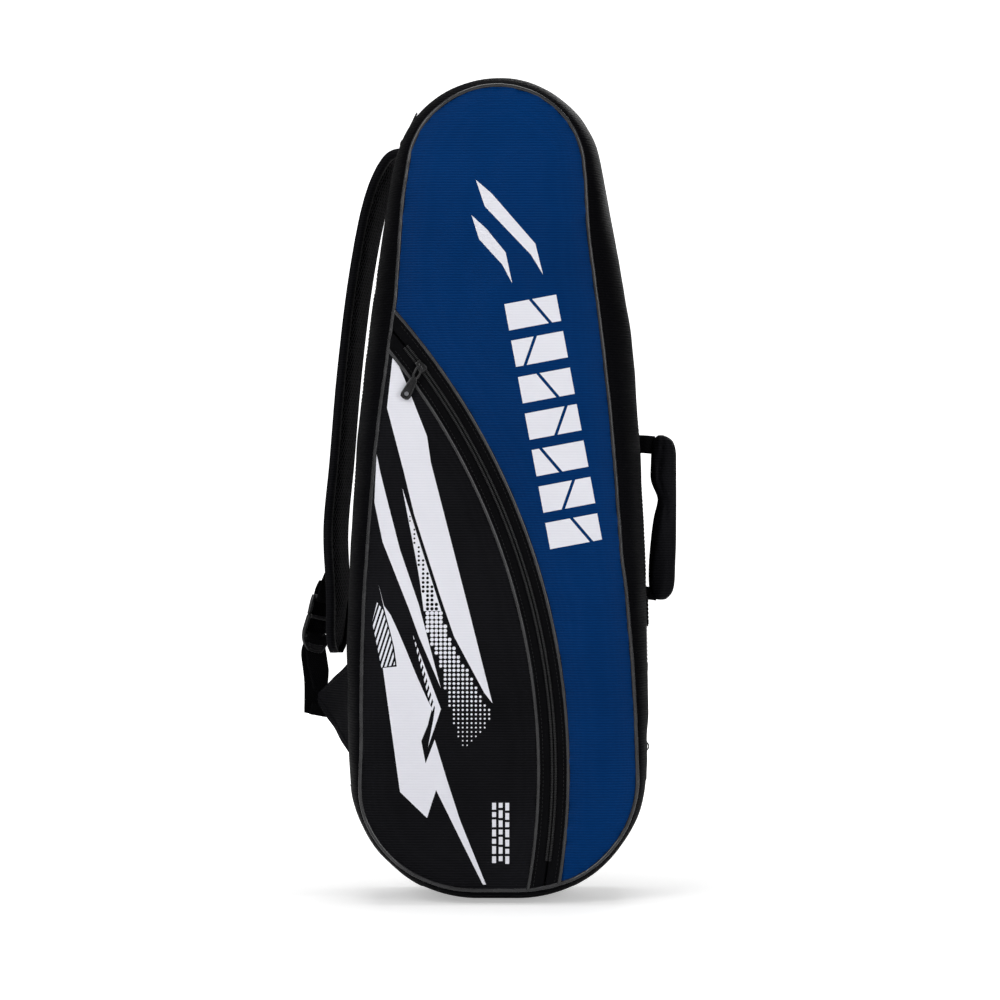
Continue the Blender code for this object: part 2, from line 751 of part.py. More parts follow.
def make_handle(outline, fold):
    """Webbing loop and padded wrap on the tray's right side, with a sewn anchor at each end."""
    y = handle_y()
    axis_x = handle_x(outline)
    grip_x = axis_x - STUB + HANDLE_REACH
    bend = HANDLE_BEND
    path = [
        Vector((axis_x + HANDLE_OFF, y, HANDLE_LOW)),
        Vector((grip_x - bend * 0.35, y, HANDLE_LOW + bend * 0.35)),
        Vector((grip_x, y, HANDLE_LOW + bend)),
    ]
    upper = [Vector((p.x, y, HANDLE_LOW + HANDLE_HIGH - p.z)) for p in reversed(path)]
    path = smooth_path(path, 3) + smooth_path(upper, 3)
    across = Vector((0, 1, 0))
    webbing = ribbon("handle_webbing", path, across, [HANDLE_WEB_W / 2] * len(path), HANDLE_WEB_T, 1)
    place(webbing, "webbing", fold)

    low, high = HANDLE_LOW + bend + WRAP_END_GAP, HANDLE_HIGH - bend - WRAP_END_GAP
    bm = bmesh.new()
    made = bmesh.ops.create_cone(
        bm, cap_ends=True, segments=28, radius1=1.0, radius2=1.0, depth=high - low
    )["verts"]
    bmesh.ops.scale(bm, vec=(WRAP_HALF_X, WRAP_HALF_Y, 1), verts=made)
    bmesh.ops.translate(bm, vec=(grip_x, y, (low + high) / 2), verts=made)
    wrap = mesh_object("handle_wrap", bm)
    half_t, half_w = HANDLE_WEB_T / 2 + GAP, HANDLE_WEB_W / 2 + GAP
    core_low = (grip_x - half_t, y - half_w, low - CUT_PAST)
    core = box_object("handle_core_cutter", core_low, (grip_x + half_t, y + half_w, high + CUT_PAST))
    boolean(wrap, as_cutter(core), "DIFFERENCE")
    place(wrap, "webbing", fold)

    for name, z, side in (("handle_anchor_lower", HANDLE_LOW, -1), ("handle_anchor_upper", HANDLE_HIGH, 1)):
        low_z, high_z = sorted((z - side * ANCHOR_PAST, z + side * ANCHOR_H))
        steps = 4
        rows = []
        for row_y in (y - ANCHOR_HALF, y + ANCHOR_HALF):
            row = []
            for k in range(steps + 1):
                row_z = low_z + (high_z - low_z) * k / steps
                angle = outline.height_angle(row_z)
                px, pz = outline.at(angle, -GAP - PATCH_T)
                row.append((px, row_y, pz))
            rows.append(row)
        patch = sheet(name, rows, PATCH_T, -1.0)
        half = HANDLE_OFF * STUB_SHARE
        stub_low = (outline.side_x(z) + GAP + PATCH_T / 2, y - half, z - STUB_H / 2)
        stub = box_object(f"{name}_stub", stub_low, (axis_x, y + half, z + STUB_H / 2))
        place(joined(name, [patch, stub]), "webbing")


def wing_tip(side):
    """Tip of a wing: the left one spreads outwards, the right one is folded back behind the bag."""
    out, back = (WING_LEFT_OUT, WING_LEFT_BACK) if side < 0 else (WING_RIGHT_OUT, WING_RIGHT_BACK)
    return Vector((side * (Outline().side_x(WING_TIP_Z) + out), BACK_Y + back, WING_TIP_Z))


def make_wing(name, outline, side):
    """A triangle of doubled fabric from the tray's side to the adjuster webbing."""
    root_y = BACK_Y - BACK_ROUND
    tip = wing_tip(side)
    steps = 5
    root, point = [], []
    for k in range(steps + 1):
        z = WING_LOW + (WING_HIGH - WING_LOW) * k / steps
        x, z = outline.at(outline.height_angle(z), -WING_T / 2 - 2 * GAP)
        root.append(Vector((side * x, root_y, z)))
        point.append(tip + Vector((0, 0, WING_TIP_HALF * (2 * k / steps - 1))))
    rows = [root, [r.lerp(p, 0.5) for r, p in zip(root, point)], point]
    rows = [[tuple(p) for p in row] for row in rows]
    place(sheet(name, rows, WING_T, 0.0), "black_ripstop")


def strap_ends(side):
    """Where a strap's turning line meets its anchor and its wing."""
    top = Vector((side * STRAP_ANCHOR_X, BACK_Y + GAP + PANEL_T + STRAP_STANDOFF, HEIGHT - STRAP_ANCHOR_DOWN))
    return top, wing_tip(side) + Vector((0, 0.002, 0))


def strap_frame(side, azimuth):
    """Local Z up the turning line from the wing, X towards the strap's bow."""
    top, low = strap_ends(side)
    up = (top - low).normalized()
    turn = math.radians(azimuth)
    bow = Vector((math.cos(turn), math.sin(turn), 0))
    bow = (bow - up * bow.dot(up)).normalized()
    frame = Matrix((bow, up.cross(bow), up)).transposed().to_4x4()
    frame.translation = low
    return frame, (top - low).length


def make_strap(label, side, azimuth, twist, axis, tail_axis):
    """One shoulder strap: top webbing, pad, lock webbing, ladder lock, adjuster webbing and its tail."""
    frame, length = strap_frame(side, azimuth)
    turn = math.radians(twist)
    across = Vector((math.cos(turn), math.sin(turn), 0))
    # share of the line below the anchor, distance from the line, half width
    bow = (
        (-0.026, 0.017, 0.20),
        (-0.052, 0.035, 0.30),
        (-0.060, 0.058, 0.40),
        (-0.036, 0.0755, 0.47),
        (0.050, 0.083, 0.50),
        (0.200, 0.077, 0.50),
        (0.380, 0.062, 0.50),
        (0.550, 0.044, 0.50),
        (0.680, 0.0305, 0.50),
        (0.800, 0.0085, 0.46),
        (0.880, -0.004, 0.33),
    )
    control = [Vector((out, share * STRAP_W, (1 - down) * length)) for down, out, share in bow]
    smooth = smooth_path(control, 3)
    path = [Vector((p.x, 0, p.z)) for p in smooth]
    pad = ribbon(f"strap_pad_{label}", path, across, [p.y for p in smooth], STRAP_T, 2, frame)
    place(pad, "spacer_mesh", axis)

    first = path[0]
    away = (path[0] - path[1]).normalized()
    start = first + away * GAP * 2
    top_path = [Vector((0, 0, length)), Vector((0.006, 0, length + 0.006)), start]
    halves = [0.004, 0.009, 0.0125]
    place(ribbon(f"strap_top_webbing_{label}", top_path, across, halves, WEB_T, 1, frame), "webbing", axis)

    lock = ladder_lock(f"ladder_lock_{label}", across, frame)
    place(lock, "buckle", axis)
    bar = bar_wrap()
    high = Vector((LOCK_OUT, 0, LOCK_HIGH))
    low = Vector((LOCK_OUT, 0, LOCK_LOW))
    proud = STRAP_T / 2 + WEB_T + 3 * GAP
    sewn = [Vector((path_out(smooth, length, d) + proud, 0, (1 - d) * length)) for d in (0.64, 0.68, 0.72, 0.75)]
    loop = [high + Vector((bar * math.cos(t), 0, bar * math.sin(t))) for t in half_turn(0, -math.pi)]
    back = [high + Vector((-bar, 0, LOCK_BAR))]
    place(strip(f"lock_webbing_{label}", sewn + loop + back, across, frame), "webbing", axis)
    rise = [Vector((0.0, 0, 2 * WING_TIP_HALF)), Vector((LOCK_OUT * 0.45, 0, LOCK_LOW * 0.5))]
    over = [low + Vector((-bar * math.cos(t), 0, bar * math.sin(t))) for t in half_turn(0, math.pi)]
    place(strip(f"adjuster_webbing_{label}", rise + over, across, frame), "webbing", axis)
    end = low + Vector((bar, 0, -GAP))
    down = frame.to_3x3().inverted() @ Vector((0, 0, -TAIL_L))
    hang = [end, end + Vector((0.001, 0, -TAIL_L * 0.2)), end + down * 0.6, end + down]
    place(strip(f"webbing_tail_{label}", hang, across, frame), "webbing", tail_axis)


def bar_wrap():
    """Radius of webbing's middle where it goes round a bar of the ladder lock."""
    return LOCK_BAR * 0.72 + GAP + WEB_T / 2


def tail_pivot():
    """The tail swings about the outer face of its own top end."""
    return Vector((LOCK_OUT + bar_wrap() + WEB_T / 2, 0, LOCK_LOW - GAP / 2))


def path_out(smooth, length, down):
    """How far the pad's middle is from the turning line at a share of the way down."""
    z = (1 - down) * length
    for a, b in zip(smooth[4:], smooth[5:]):
        if a.z >= z >= b.z:
            return a.x + (b.x - a.x) * (a.z - z) / (a.z - b.z)
    return 0.0


def half_turn(start, stop, steps=6):
    return [start + (stop - start) * k / steps for k in range(steps + 1)]


def strip(name, path, across, frame):
    return ribbon(name, path, across, [WEB_W / 2] * len(path), WEB_T, 1, frame)


def ladder_lock(name, across, frame):
    """A plate with two windows and a thumb tab, square to its strap."""
    normal = across.cross(Vector((0, 0, 1)))
    own = Matrix((across, Vector((0, 0, 1)), normal)).transposed().to_4x4()
    own.translation = (LOCK_OUT, 0, 0)
    half = WEB_W / 2 + LOCK_PLAY
    outer = half + LOCK_SIDE
    low, high = LOCK_LOW - LOCK_BAR / 2, LOCK_HIGH + LOCK_BAR / 2
    loops = [
        [(-outer, low), (-outer * 0.5, low - LOCK_TAB), (outer * 0.5, low - LOCK_TAB), (outer, low)]
        + [(outer, high), (-outer, high)]
    ]
    middle = (LOCK_LOW + LOCK_HIGH) / 2
    rung = LOCK_MIDDLE / 2
    for a, b in ((LOCK_LOW + LOCK_BAR / 2, middle - rung), (middle + rung, LOCK_HIGH - LOCK_BAR / 2)):
        loops.append([(-half, a), (half, a), (half, b), (-half, b)])
    return flat_piece(name, loops, -LOCK_BAR / 2, LOCK_BAR / 2, frame @ own)


def make_anchor_patch():
    """The stitched patch on the back panel that both straps start from."""
    y = BACK_Y + GAP + PANEL_T + GAP
    z = HEIGHT - STRAP_ANCHOR_DOWN
    half = STRAP_ANCHOR_X + PATCH_PAST
    patch = box_object("strap_anchor_patch", (-half, y, z - PATCH_DOWN), (half, y + PATCH_T, z + PATCH_UP))
    stubs = []
    for side in (-1, 1):
        top, _ = strap_ends(side)
        stubs.append(
            box_object(
                f"anchor_stub_{side + 1}",
                (top.x - 0.004, y + PATCH_T / 2, z - 0.0045),
                (top.x + 0.004, top.y + 0.001, z - 0.0015),
            )
        )
    place(joined("strap_anchor_patch", [patch, *stubs]), "webbing")


# ---------------------------------------------------------------- the bag
def main():
    clear_scene()
    bpy.context.scene.collection.children.link(parts)
    bpy.context.scene.collection.children.link(guides)
    outline = Outline()
    zip_start = MAIN_ZIP_LOW_ANGLE
    zip_stop = MAIN_ZIP_TOP_ANGLE + 360

    hinge_y = ZIP_Y - ROW_Y - MAIN_TAPE_W + GAP
    touch_x, touch_z = outline.at(outline.height_angle(HINGE_TOUCH_Z), -2 * GAP)
    lid = axis_empty("lid_axis", (-touch_x, hinge_y, touch_z))
    lid.rotation_euler = (0, math.radians(outline.height_angle(HINGE_TOUCH_Z)), 0)
    bpy.context.view_layer.update()
    low, high = mouth_chord()
    middle = (low + high) / 2
    mouth = axis_empty("pocket_mouth_axis", (middle.x, PANEL_OUT_Y, middle.y))
    carrier = axis_empty("pocket_slider_axis", (ZIP_CENTRE_X, PANEL_OUT_Y, ZIP_CENTRE_Z))
    pull = pull_frame()
    top = COIL_R + RUN_GAP + PLATE_T + RUN_GAP + LINK_T / 2
    link = axis_empty("pocket_link_axis", pull @ Vector((0.0, 0, top)))
    tab = axis_empty("pocket_tab_axis", pull @ Vector((LINK_L + GAP / 2, 0, top + PULL_TAB_T / 2)))

    make_tray(outline, zip_start, zip_stop)
    make_lid(outline, zip_start, zip_stop, lid)
    make_pocket(outline, lid, mouth)
    make_pocket_slider(carrier, link, tab)
    make_end_tabs(outline, zip_start, zip_stop)

    right_angle = outline.height_angle(SIDE_SLIDER_Z)
    top_angle = zip_stop - math.degrees((SLIDER_L / 2 + TOP_SLIDER_BACK) / TOP_R)
    side_axis = axis_empty("side_slider_axis", (outline.side.x, ZIP_Y, outline.side.y))
    side_frame = main_slider_frame(outline, right_angle, 1)
    side_pull = axis_empty("side_pull_axis", pull_pivot(side_frame))
    make_main_slider("side_slider", outline, right_angle, 1, side_axis, side_pull)
    top_axis = axis_empty("top_slider_axis", (outline.high.x, ZIP_Y, outline.high.y))
    top_frame = main_slider_frame(outline, top_angle, 1)
    top_pull = axis_empty("top_pull_axis", pull_pivot(top_frame))
    make_main_slider("top_slider", outline, top_angle, 1, top_axis, top_pull)

    fold = axis_empty("handle_axis", (handle_x(outline), handle_y(), (HANDLE_LOW + HANDLE_HIGH) / 2))
    make_handle(outline, fold)
    make_anchor_patch()
    for label, side, azimuth, twist in (("left", -1, 149.0, -73.0), ("right", 1, 100.0, -90.0)):
        make_wing(f"wing_{label}", outline, side)
        axis = axis_empty(f"strap_{label}_axis", strap_ends(side)[1])
        frame, _ = strap_frame(side, azimuth)
        tail = axis_empty(f"tail_{label}_axis", frame @ tail_pivot())
        make_strap(label, side, azimuth, twist, axis, tail)
    bpy.context.view_layer.update()


main()
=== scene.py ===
"""Looks of the racket tournament bag: sewn cloth, pipings, zips, straps, handle and print."""
import math

import bmesh
import bpy
from mathutils import Matrix, Vector, noise


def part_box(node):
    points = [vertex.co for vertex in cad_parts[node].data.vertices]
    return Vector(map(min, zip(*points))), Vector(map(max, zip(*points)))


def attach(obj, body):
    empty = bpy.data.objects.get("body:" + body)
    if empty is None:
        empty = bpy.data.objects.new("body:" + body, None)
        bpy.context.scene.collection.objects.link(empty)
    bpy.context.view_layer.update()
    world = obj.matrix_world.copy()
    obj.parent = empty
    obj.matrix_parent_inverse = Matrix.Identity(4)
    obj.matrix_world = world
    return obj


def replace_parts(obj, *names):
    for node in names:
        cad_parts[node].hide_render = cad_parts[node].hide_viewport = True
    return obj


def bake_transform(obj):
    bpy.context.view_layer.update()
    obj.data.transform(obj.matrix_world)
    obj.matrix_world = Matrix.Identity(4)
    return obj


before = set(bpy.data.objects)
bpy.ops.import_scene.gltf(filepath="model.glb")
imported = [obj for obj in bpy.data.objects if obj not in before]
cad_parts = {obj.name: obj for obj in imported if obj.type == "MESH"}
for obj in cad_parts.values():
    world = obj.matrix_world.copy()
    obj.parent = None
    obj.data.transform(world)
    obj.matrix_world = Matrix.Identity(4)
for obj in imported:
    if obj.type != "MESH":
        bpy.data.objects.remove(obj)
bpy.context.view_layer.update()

# ---- Sizes of the outline, as in the CAD: a base flat, corner arcs, long side arcs and a top arc
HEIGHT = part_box("rear_gusset")[1].z
BASE_HALF = 0.018
CORNER_R = 0.120
TOP_R = 0.098
SIDE_R = 2.5
BACK_INSET = 0.008
FRONT_ROUND = 0.070
BACK_ROUND = 0.018
PIPING_R = 0.0018
GAP = 0.0003

# ---- Planes from the frame
FRONT_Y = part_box("front_gusset")[0].y
LID_EDGE_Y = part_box("front_gusset")[1].y
TRAY_EDGE_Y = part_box("rear_gusset")[0].y
BACK_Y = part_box("rear_gusset")[1].y
PANEL_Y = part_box("front_panel")[0].y
BACK_OUT_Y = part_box("back_panel")[1].y
ZIP_Y = (LID_EDGE_Y + TRAY_EDGE_Y) / 2

# ---- Ends of the main zip, as angles of the outline's normal
MAIN_ZIP_LOW_ANGLE = 200.0
MAIN_ZIP_TOP_ANGLE = 159.0

# ---- The pocket's zip, an arc about a point left of the bag
ZIP_CENTRE = Vector((-0.570, 0.122))
ZIP_R = 0.621
UPPER_PIPING_R = ZIP_R + 0.0130
LOWER_PIPING_R = ZIP_R - 0.0140
BLUE_EDGE = UPPER_PIPING_R + PIPING_R
POCKET_EDGE = LOWER_PIPING_R - PIPING_R
SLIDER_CLOSED = 36.4
SLIDER_OPEN = -5.3
ROW_OFF = 0.0016

# ---- Cloth on the panels
PANEL_START = 0.0019
BLUE_RISE = 0.0062
POCKET_RISE = 0.0036
BACK_RISE = 0.0050
RISE_OVER = 0.011
PUCKER = 0.0013
PUCKER_OVER = 0.0065
CLOTH_T = 0.0009
FABRIC_IOR = 1.25
PRINT_LIFT = 0.00032


# ---------------------------------------------------------------- small helpers
def spread(low, high, count):
    """Values at even steps from low to high, both ends included."""
    return [low + (high - low) * k / count for k in range(count + 1)]


def ripples(x, y, z):
    """Smooth noise at a place."""
    return noise.noise(Vector((x, y, z)))


def solve(low, high, test):
    """Where a test that holds at low stops holding."""
    for _ in range(40):
        middle = (low + high) / 2
        low, high = (middle, high) if test(middle) else (low, middle)
    return low


def forwards(_):
    return Vector((0, -1, 0))


def backwards(_):
    return Vector((0, 1, 0))


# ---------------------------------------------------------------- materials
def node(tree, kind, inputs=None, **settings):
    """A shader node with its settings, its inputs linked to sockets or set to values."""
    made = tree.nodes.new(kind)
    for key, value in settings.items():
        setattr(made, key, value)
    for key, value in (inputs or {}).items():
        if isinstance(value, bpy.types.NodeSocket):
            tree.links.new(value, made.inputs[key])
        else:
            made.inputs[key].default_value = value
    return made


def math_node(tree, operation, *values):
    return node(tree, "ShaderNodeMath", dict(enumerate(values)), operation=operation).outputs[0]


def times(tree, a, b):
    return math_node(tree, "MULTIPLY", a, b)


def plus(tree, a, b):
    return math_node(tree, "ADD", a, b)


def set_inputs(shader, values):
    for key, value in values.items():
        shader.inputs[key].default_value = value


def bands(tree, place, axis, pitch, roughening=0.4):
    """Threads or ribs: a wave of a given pitch across an axis."""
    scale = math.pi / 10 / pitch
    wave = node(
        tree,
        "ShaderNodeTexWave",
        {"Vector": place, "Scale": scale, "Distortion": roughening, "Detail": 1.0, "Detail Scale": 2.0},
        wave_type="BANDS",
        bands_direction=axis,
        wave_profile="SIN",
    )
    return wave.outputs["Fac"]


def base_material(name):
    made = bpy.data.materials.new(name)
    made.use_nodes = True
    tree = made.node_tree
    place = node(tree, "ShaderNodeTexCoord").outputs["Object"]
    return made, tree, tree.nodes["Principled BSDF"], place


def finish_material(tree, shader, place, height, colours, share, rough, spreading, bump, depth, patch=7.0):
    """Colour from dark to light by share, roughness that varies a little, and a bump of a depth."""
    cloud = node(tree, "ShaderNodeTexNoise", {"Vector": place, "Scale": patch, "Detail": 3.0}).outputs["Fac"]
    mixed = plus(tree, times(tree, height, share), times(tree, cloud, 1 - share))
    ramp = node(tree, "ShaderNodeValToRGB", {"Fac": mixed})
    for element, at, colour in zip(ramp.color_ramp.elements, (0.25, 0.75), colours):
        element.position = at
        element.color = (*colour, 1)
    tree.links.new(ramp.outputs["Color"], shader.inputs["Base Color"])
    uneven = plus(tree, times(tree, cloud, 2 * spreading), rough - spreading)
    tree.links.new(uneven, shader.inputs["Roughness"])
    relief = node(tree, "ShaderNodeBump", {"Strength": bump, "Distance": depth, "Height": height})
    tree.links.new(relief.outputs["Normal"], shader.inputs["Normal"])


def ripstop(name, dark, light, rough, specular, rib=0.0024, thread=0.0008, bump=0.5):
    """Coated ripstop: fine plain weave with a stronger rib every few threads."""
    made, tree, shader, place = base_material(name)
    ribs = bands(tree, place, "Z", rib)
    up = bands(tree, place, "Z", thread)
    over = times(tree, bands(tree, place, "X", thread), bands(tree, place, "Y", thread))
    weave = times(tree, up, over)
    height = plus(tree, times(tree, ribs, 0.6), times(tree, weave, 0.4))
    finish_material(tree, shader, place, height, (dark, light), 0.45, rough, 0.07, bump, 0.0004)
    set_inputs(shader, {"Specular IOR Level": specular, "IOR": FABRIC_IOR, "Sheen Weight": 0.0})
    return made


def webbing_material(name, dark, light, pitch):
    """Woven webbing: chevron ribs along its length."""
    made, tree, shader, place = base_material(name)
    height = times(tree, bands(tree, place, "Z", pitch, 0.8), bands(tree, place, "DIAGONAL", pitch, 0.8))
    finish_material(tree, shader, place, height, (dark, light), 0.5, 0.68, 0.06, 0.7, 0.0005, 30.0)
    set_inputs(shader, {"Specular IOR Level": 0.10, "IOR": FABRIC_IOR})
    return made


def diamond_mesh(name, dark, light, pitch):
    """Spacer mesh: a net of raised threads round open diamonds, taller than wide; the near-black openings are
    the layer beneath, darkened further by painted shade.
    """
    made, tree, shader, place = base_material(name)
    parts = node(tree, "ShaderNodeSeparateXYZ", {"Vector": place}).outputs
    round_about = plus(tree, parts["X"], times(tree, parts["Y"], 0.45))
    along = times(tree, parts["Z"], 0.6)
    strands = []
    for operation in ("ADD", "SUBTRACT"):
        slanting = node(tree, "ShaderNodeCombineXYZ", {0: math_node(tree, operation, round_about, along)})
        strands.append(bands(tree, slanting.outputs[0], "X", pitch, 0.1))
    threads = math_node(tree, "POWER", math_node(tree, "MAXIMUM", *strands), 2.5)
    # Colour follows the threads: light on them, near black in the openings, which is partly the dark layer
    # beneath and partly painted shade.
    finish_material(tree, shader, place, threads, (dark, light), 0.85, 0.75, 0.05, 0.9, 0.0012, 20.0)
    set_inputs(shader, {"Specular IOR Level": 0.05, "IOR": FABRIC_IOR})
    return made


def smooth_material(name, dark, light, rough, specular, coat=0.0, grain=900.0, bump=0.12):
    """Moulded plastic, coated cord or painted metal with a fine grain."""
    made, tree, shader, place = base_material(name)
    height = node(tree, "ShaderNodeTexNoise", {"Vector": place, "Scale": grain, "Detail": 2.0}).outputs["Fac"]
    finish_material(tree, shader, place, height, (dark, light), 0.3, rough, 0.06, bump, 0.0002, 40.0)
    values = {"Specular IOR Level": specular, "Coat Weight": coat, "Coat Roughness": 0.18, "Metallic": 0.0}
    set_inputs(shader, values)
    return made


MATERIALS = {
    "blue_fabric": ripstop(
        "blue_coated_ripstop", (0.0, 0.023, 0.105), (0.0004, 0.040, 0.178), 0.42, 0.12, bump=0.7
    ),
    "black_fabric": ripstop(
        "black_coated_ripstop", (0.0036, 0.0036, 0.0044), (0.0130, 0.0130, 0.0158), 0.5, 0.09, bump=0.8
    ),
    # The side bands' cloth is a darker copy of the black coated ripstop; its extra darkness is painted shade
    # on the bag's sides.
    "side_fabric_painted_shade": ripstop(
        "black_side_ripstop_painted_shade", (0.0014, 0.0014, 0.0018), (0.0060, 0.0060, 0.0075), 0.5, 0.05, bump=0.9
    ),
    "print": ripstop("white_print", (0.84, 0.84, 0.91), (0.91, 0.91, 0.97), 0.5, 0.3, bump=0.3),
    "lining": ripstop("grey_lining", (0.020, 0.020, 0.022), (0.035, 0.035, 0.038), 0.65, 0.2, rib=0.004),
    "zip_tape": ripstop(
        "zip_tape_weave", (0.0025, 0.0025, 0.003), (0.006, 0.006, 0.007), 0.7, 0.08, rib=0.0011, thread=0.0006
    ),
    "webbing": webbing_material("black_webbing", (0.0025, 0.0025, 0.003), (0.0075, 0.0075, 0.0085), 0.0018),
    "spacer_mesh": diamond_mesh("black_diamond_mesh_painted_shade", (0.0008, 0.0008, 0.001), (0.028, 0.028, 0.031), 0.0036),
    "piping": smooth_material(
        "black_piping", (0.012, 0.012, 0.013), (0.036, 0.036, 0.039), 0.26, 0.5, coat=0.25, grain=500.0
    ),
    "coil": smooth_material("black_coil", (0.004, 0.004, 0.0045), (0.010, 0.010, 0.011), 0.35, 0.45),
    "slider": smooth_material(
        "black_slider_paint", (0.003, 0.003, 0.0035), (0.008, 0.008, 0.009), 0.25, 0.5, coat=0.4, bump=0.05
    ),
    # The ladder locks' black plastic, its colour lifted above the other black plastics as painted light,
    # since the locks sit in the straps' shade.
    "buckle": smooth_material(
        "black_moulded_plastic_painted_light", (0.012, 0.012, 0.013), (0.022, 0.022, 0.024), 0.34, 0.5, grain=1600.0
    ),
    "foam": smooth_material(
        "grey_foam", (0.04, 0.04, 0.042), (0.07, 0.07, 0.074), 0.9, 0.1, grain=1200.0, bump=0.6
    ),
    "thread": smooth_material("black_thread", (0.006, 0.006, 0.007), (0.014, 0.014, 0.016), 0.5, 0.3),
}


# ---------------------------------------------------------------- mesh tools
def finished(name, mesh, material, body, smooth=True):
    """Link a piece, give it its material and slot, and let it ride on a body unless that is None."""
    obj = bpy.data.objects.new(name, mesh)
    bpy.context.scene.collection.objects.link(obj)
    mesh.materials.append(MATERIALS[material])
    if smooth:
        mesh.shade_smooth()
    if body:
        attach(obj, body)
    return obj


def rows_mesh(name, rows, closed=False, loop=False):
    """A surface through rows of points; closed joins a row's ends, loop joins the last row to the first."""
    count = len(rows[0])
    verts = [tuple(p) for row in rows for p in row]
    last = count if closed else count - 1
    faces = []
    for i in range(len(rows) if loop else len(rows) - 1):
        low, high = i * count, (i + 1) % len(rows) * count
        faces += [(low + j, high + j, high + (j + 1) % count, low + (j + 1) % count) for j in range(last)]
    mesh = bpy.data.meshes.new(name)
    mesh.from_pydata(verts, [], faces)
    return mesh


def welded(mesh, distance=1e-5):
    bm = bmesh.new()
    bm.from_mesh(mesh)
    bmesh.ops.remove_doubles(bm, verts=bm.verts, dist=distance)
    bmesh.ops.dissolve_degenerate(bm, edges=bm.edges, dist=distance)
    bm.to_mesh(mesh)
    bm.free()
    return mesh


def thickened(mesh, thickness, offset=-1.0, bevel=0.0):
    """The mesh with a wall's thickness, worked out at once."""
    obj = bpy.data.objects.new("thick", mesh)
    bpy.context.scene.collection.objects.link(obj)
    wall = obj.modifiers.new("wall", "SOLIDIFY")
    wall.thickness = thickness
    wall.offset = offset
    if bevel:
        edge = obj.modifiers.new("edge", "BEVEL")
        edge.width = bevel
        edge.segments = 2
        edge.limit_method = "ANGLE"
    return applied(obj)


def applied(obj):
    """The object's evaluated mesh; the object is removed."""
    bpy.context.view_layer.update()
    seen = obj.evaluated_get(bpy.context.evaluated_depsgraph_get())
    mesh = bpy.data.meshes.new_from_object(seen)
    bpy.data.objects.remove(obj)
    return mesh


def joined_mesh(name, meshes):
    bm = bmesh.new()
    for mesh in meshes:
        bm.from_mesh(mesh)
    out = bpy.data.meshes.new(name)
    bm.to_mesh(out)
    bm.free()
    return out


def fix_normals(mesh):
    bm = bmesh.new()
    bm.from_mesh(mesh)
    bmesh.ops.recalc_face_normals(bm, faces=bm.faces)
    bm.to_mesh(mesh)
    bm.free()
    return mesh


def capped(mesh):
    """The mesh with its open ends filled and its faces looking out."""
    bm = bmesh.new()
    bm.from_mesh(mesh)
    bmesh.ops.holes_fill(bm, edges=[e for e in bm.edges if e.is_boundary])
    bmesh.ops.recalc_face_normals(bm, faces=bm.faces)
    bm.to_mesh(mesh)
    bm.free()
    return mesh


def tube_mesh(name, points, radius, sides=10, cyclic=False, wobble=0.0):
    """A round cord through points, with capped ends; wobble varies its radius a little along its length."""
    count = len(points)
    rings = []
    for i, p in enumerate(points):
        before = points[i - 1] if i or cyclic else p
        after = points[(i + 1) % count] if i < count - 1 or cyclic else p
        ahead = (after - before).normalized()
        side = ahead.cross(Vector((0, 1, 0)))
        side = side.normalized() if side.length > 1e-4 else Vector((1, 0, 0))
        up = side.cross(ahead)
        own = radius * (1 + wobble * noise.noise(p * 90))
        turns = [2 * math.pi * k / sides for k in range(sides)]
        rings.append([p + side * own * math.cos(t) + up * own * math.sin(t) for t in turns])
    mesh = rows_mesh(name, rings, closed=True, loop=cyclic)
    return fix_normals(mesh) if cyclic else capped(mesh)


def faced(mesh, way):
    """The mesh with its faces turned to look, on the whole, the way that a function gives for a point."""
    total = sum(f.normal.dot(way(f.center)) * f.area for f in mesh.polygons)
    if total < 0:
        mesh.flip_normals()
    return mesh


def skin_mesh(name, rows, way, thickness, closed=False, bevel=0.0):
    """Cloth through rows of points, with its outer face on them."""
    return thickened(faced(rows_mesh(name, rows, closed=closed), way), thickness, bevel=bevel)


def flap_mesh(name, rows, thickness, bevel=0.0):
    """Cloth through rows of points, with half its thickness on each side of them."""
    return thickened(fix_normals(rows_mesh(name, rows)), thickness, offset=0, bevel=bevel)


def from_middle(point):
    """Away from the bag's upright middle line, in its XZ plane."""
    return Vector((point.x, 0, point.z - HEIGHT / 2 if abs(point.x) < 0.08 else 0))


def smooth_path(points, per_span=4):
    """Catmull-Rom points through a list of control points."""
    ends = [2 * points[0] - points[1], *points, 2 * points[-1] - points[-2]]
    out = []
    for a, b, c, d in zip(ends, ends[1:], ends[2:], ends[3:]):
        for k in range(per_span):
            t = k / per_span
            square = (2 * a - 5 * b + 4 * c - d) * t * t
            cube = (3 * b - a - 3 * c + d) * t**3
            out.append(0.5 * (2 * b + (c - a) * t + square + cube))
    return [*out, points[-1].copy()]


def resampled(points, step):
    """Points a step apart along a polyline."""
    out, carry = [points[0].copy()], 0.0
    for a, b in zip(points, points[1:]):
        length = (b - a).length
        at = step - carry
        while at <= length:
            out.append(a.lerp(b, at / length))
            at += step
        carry = (carry + length) % step
    return out


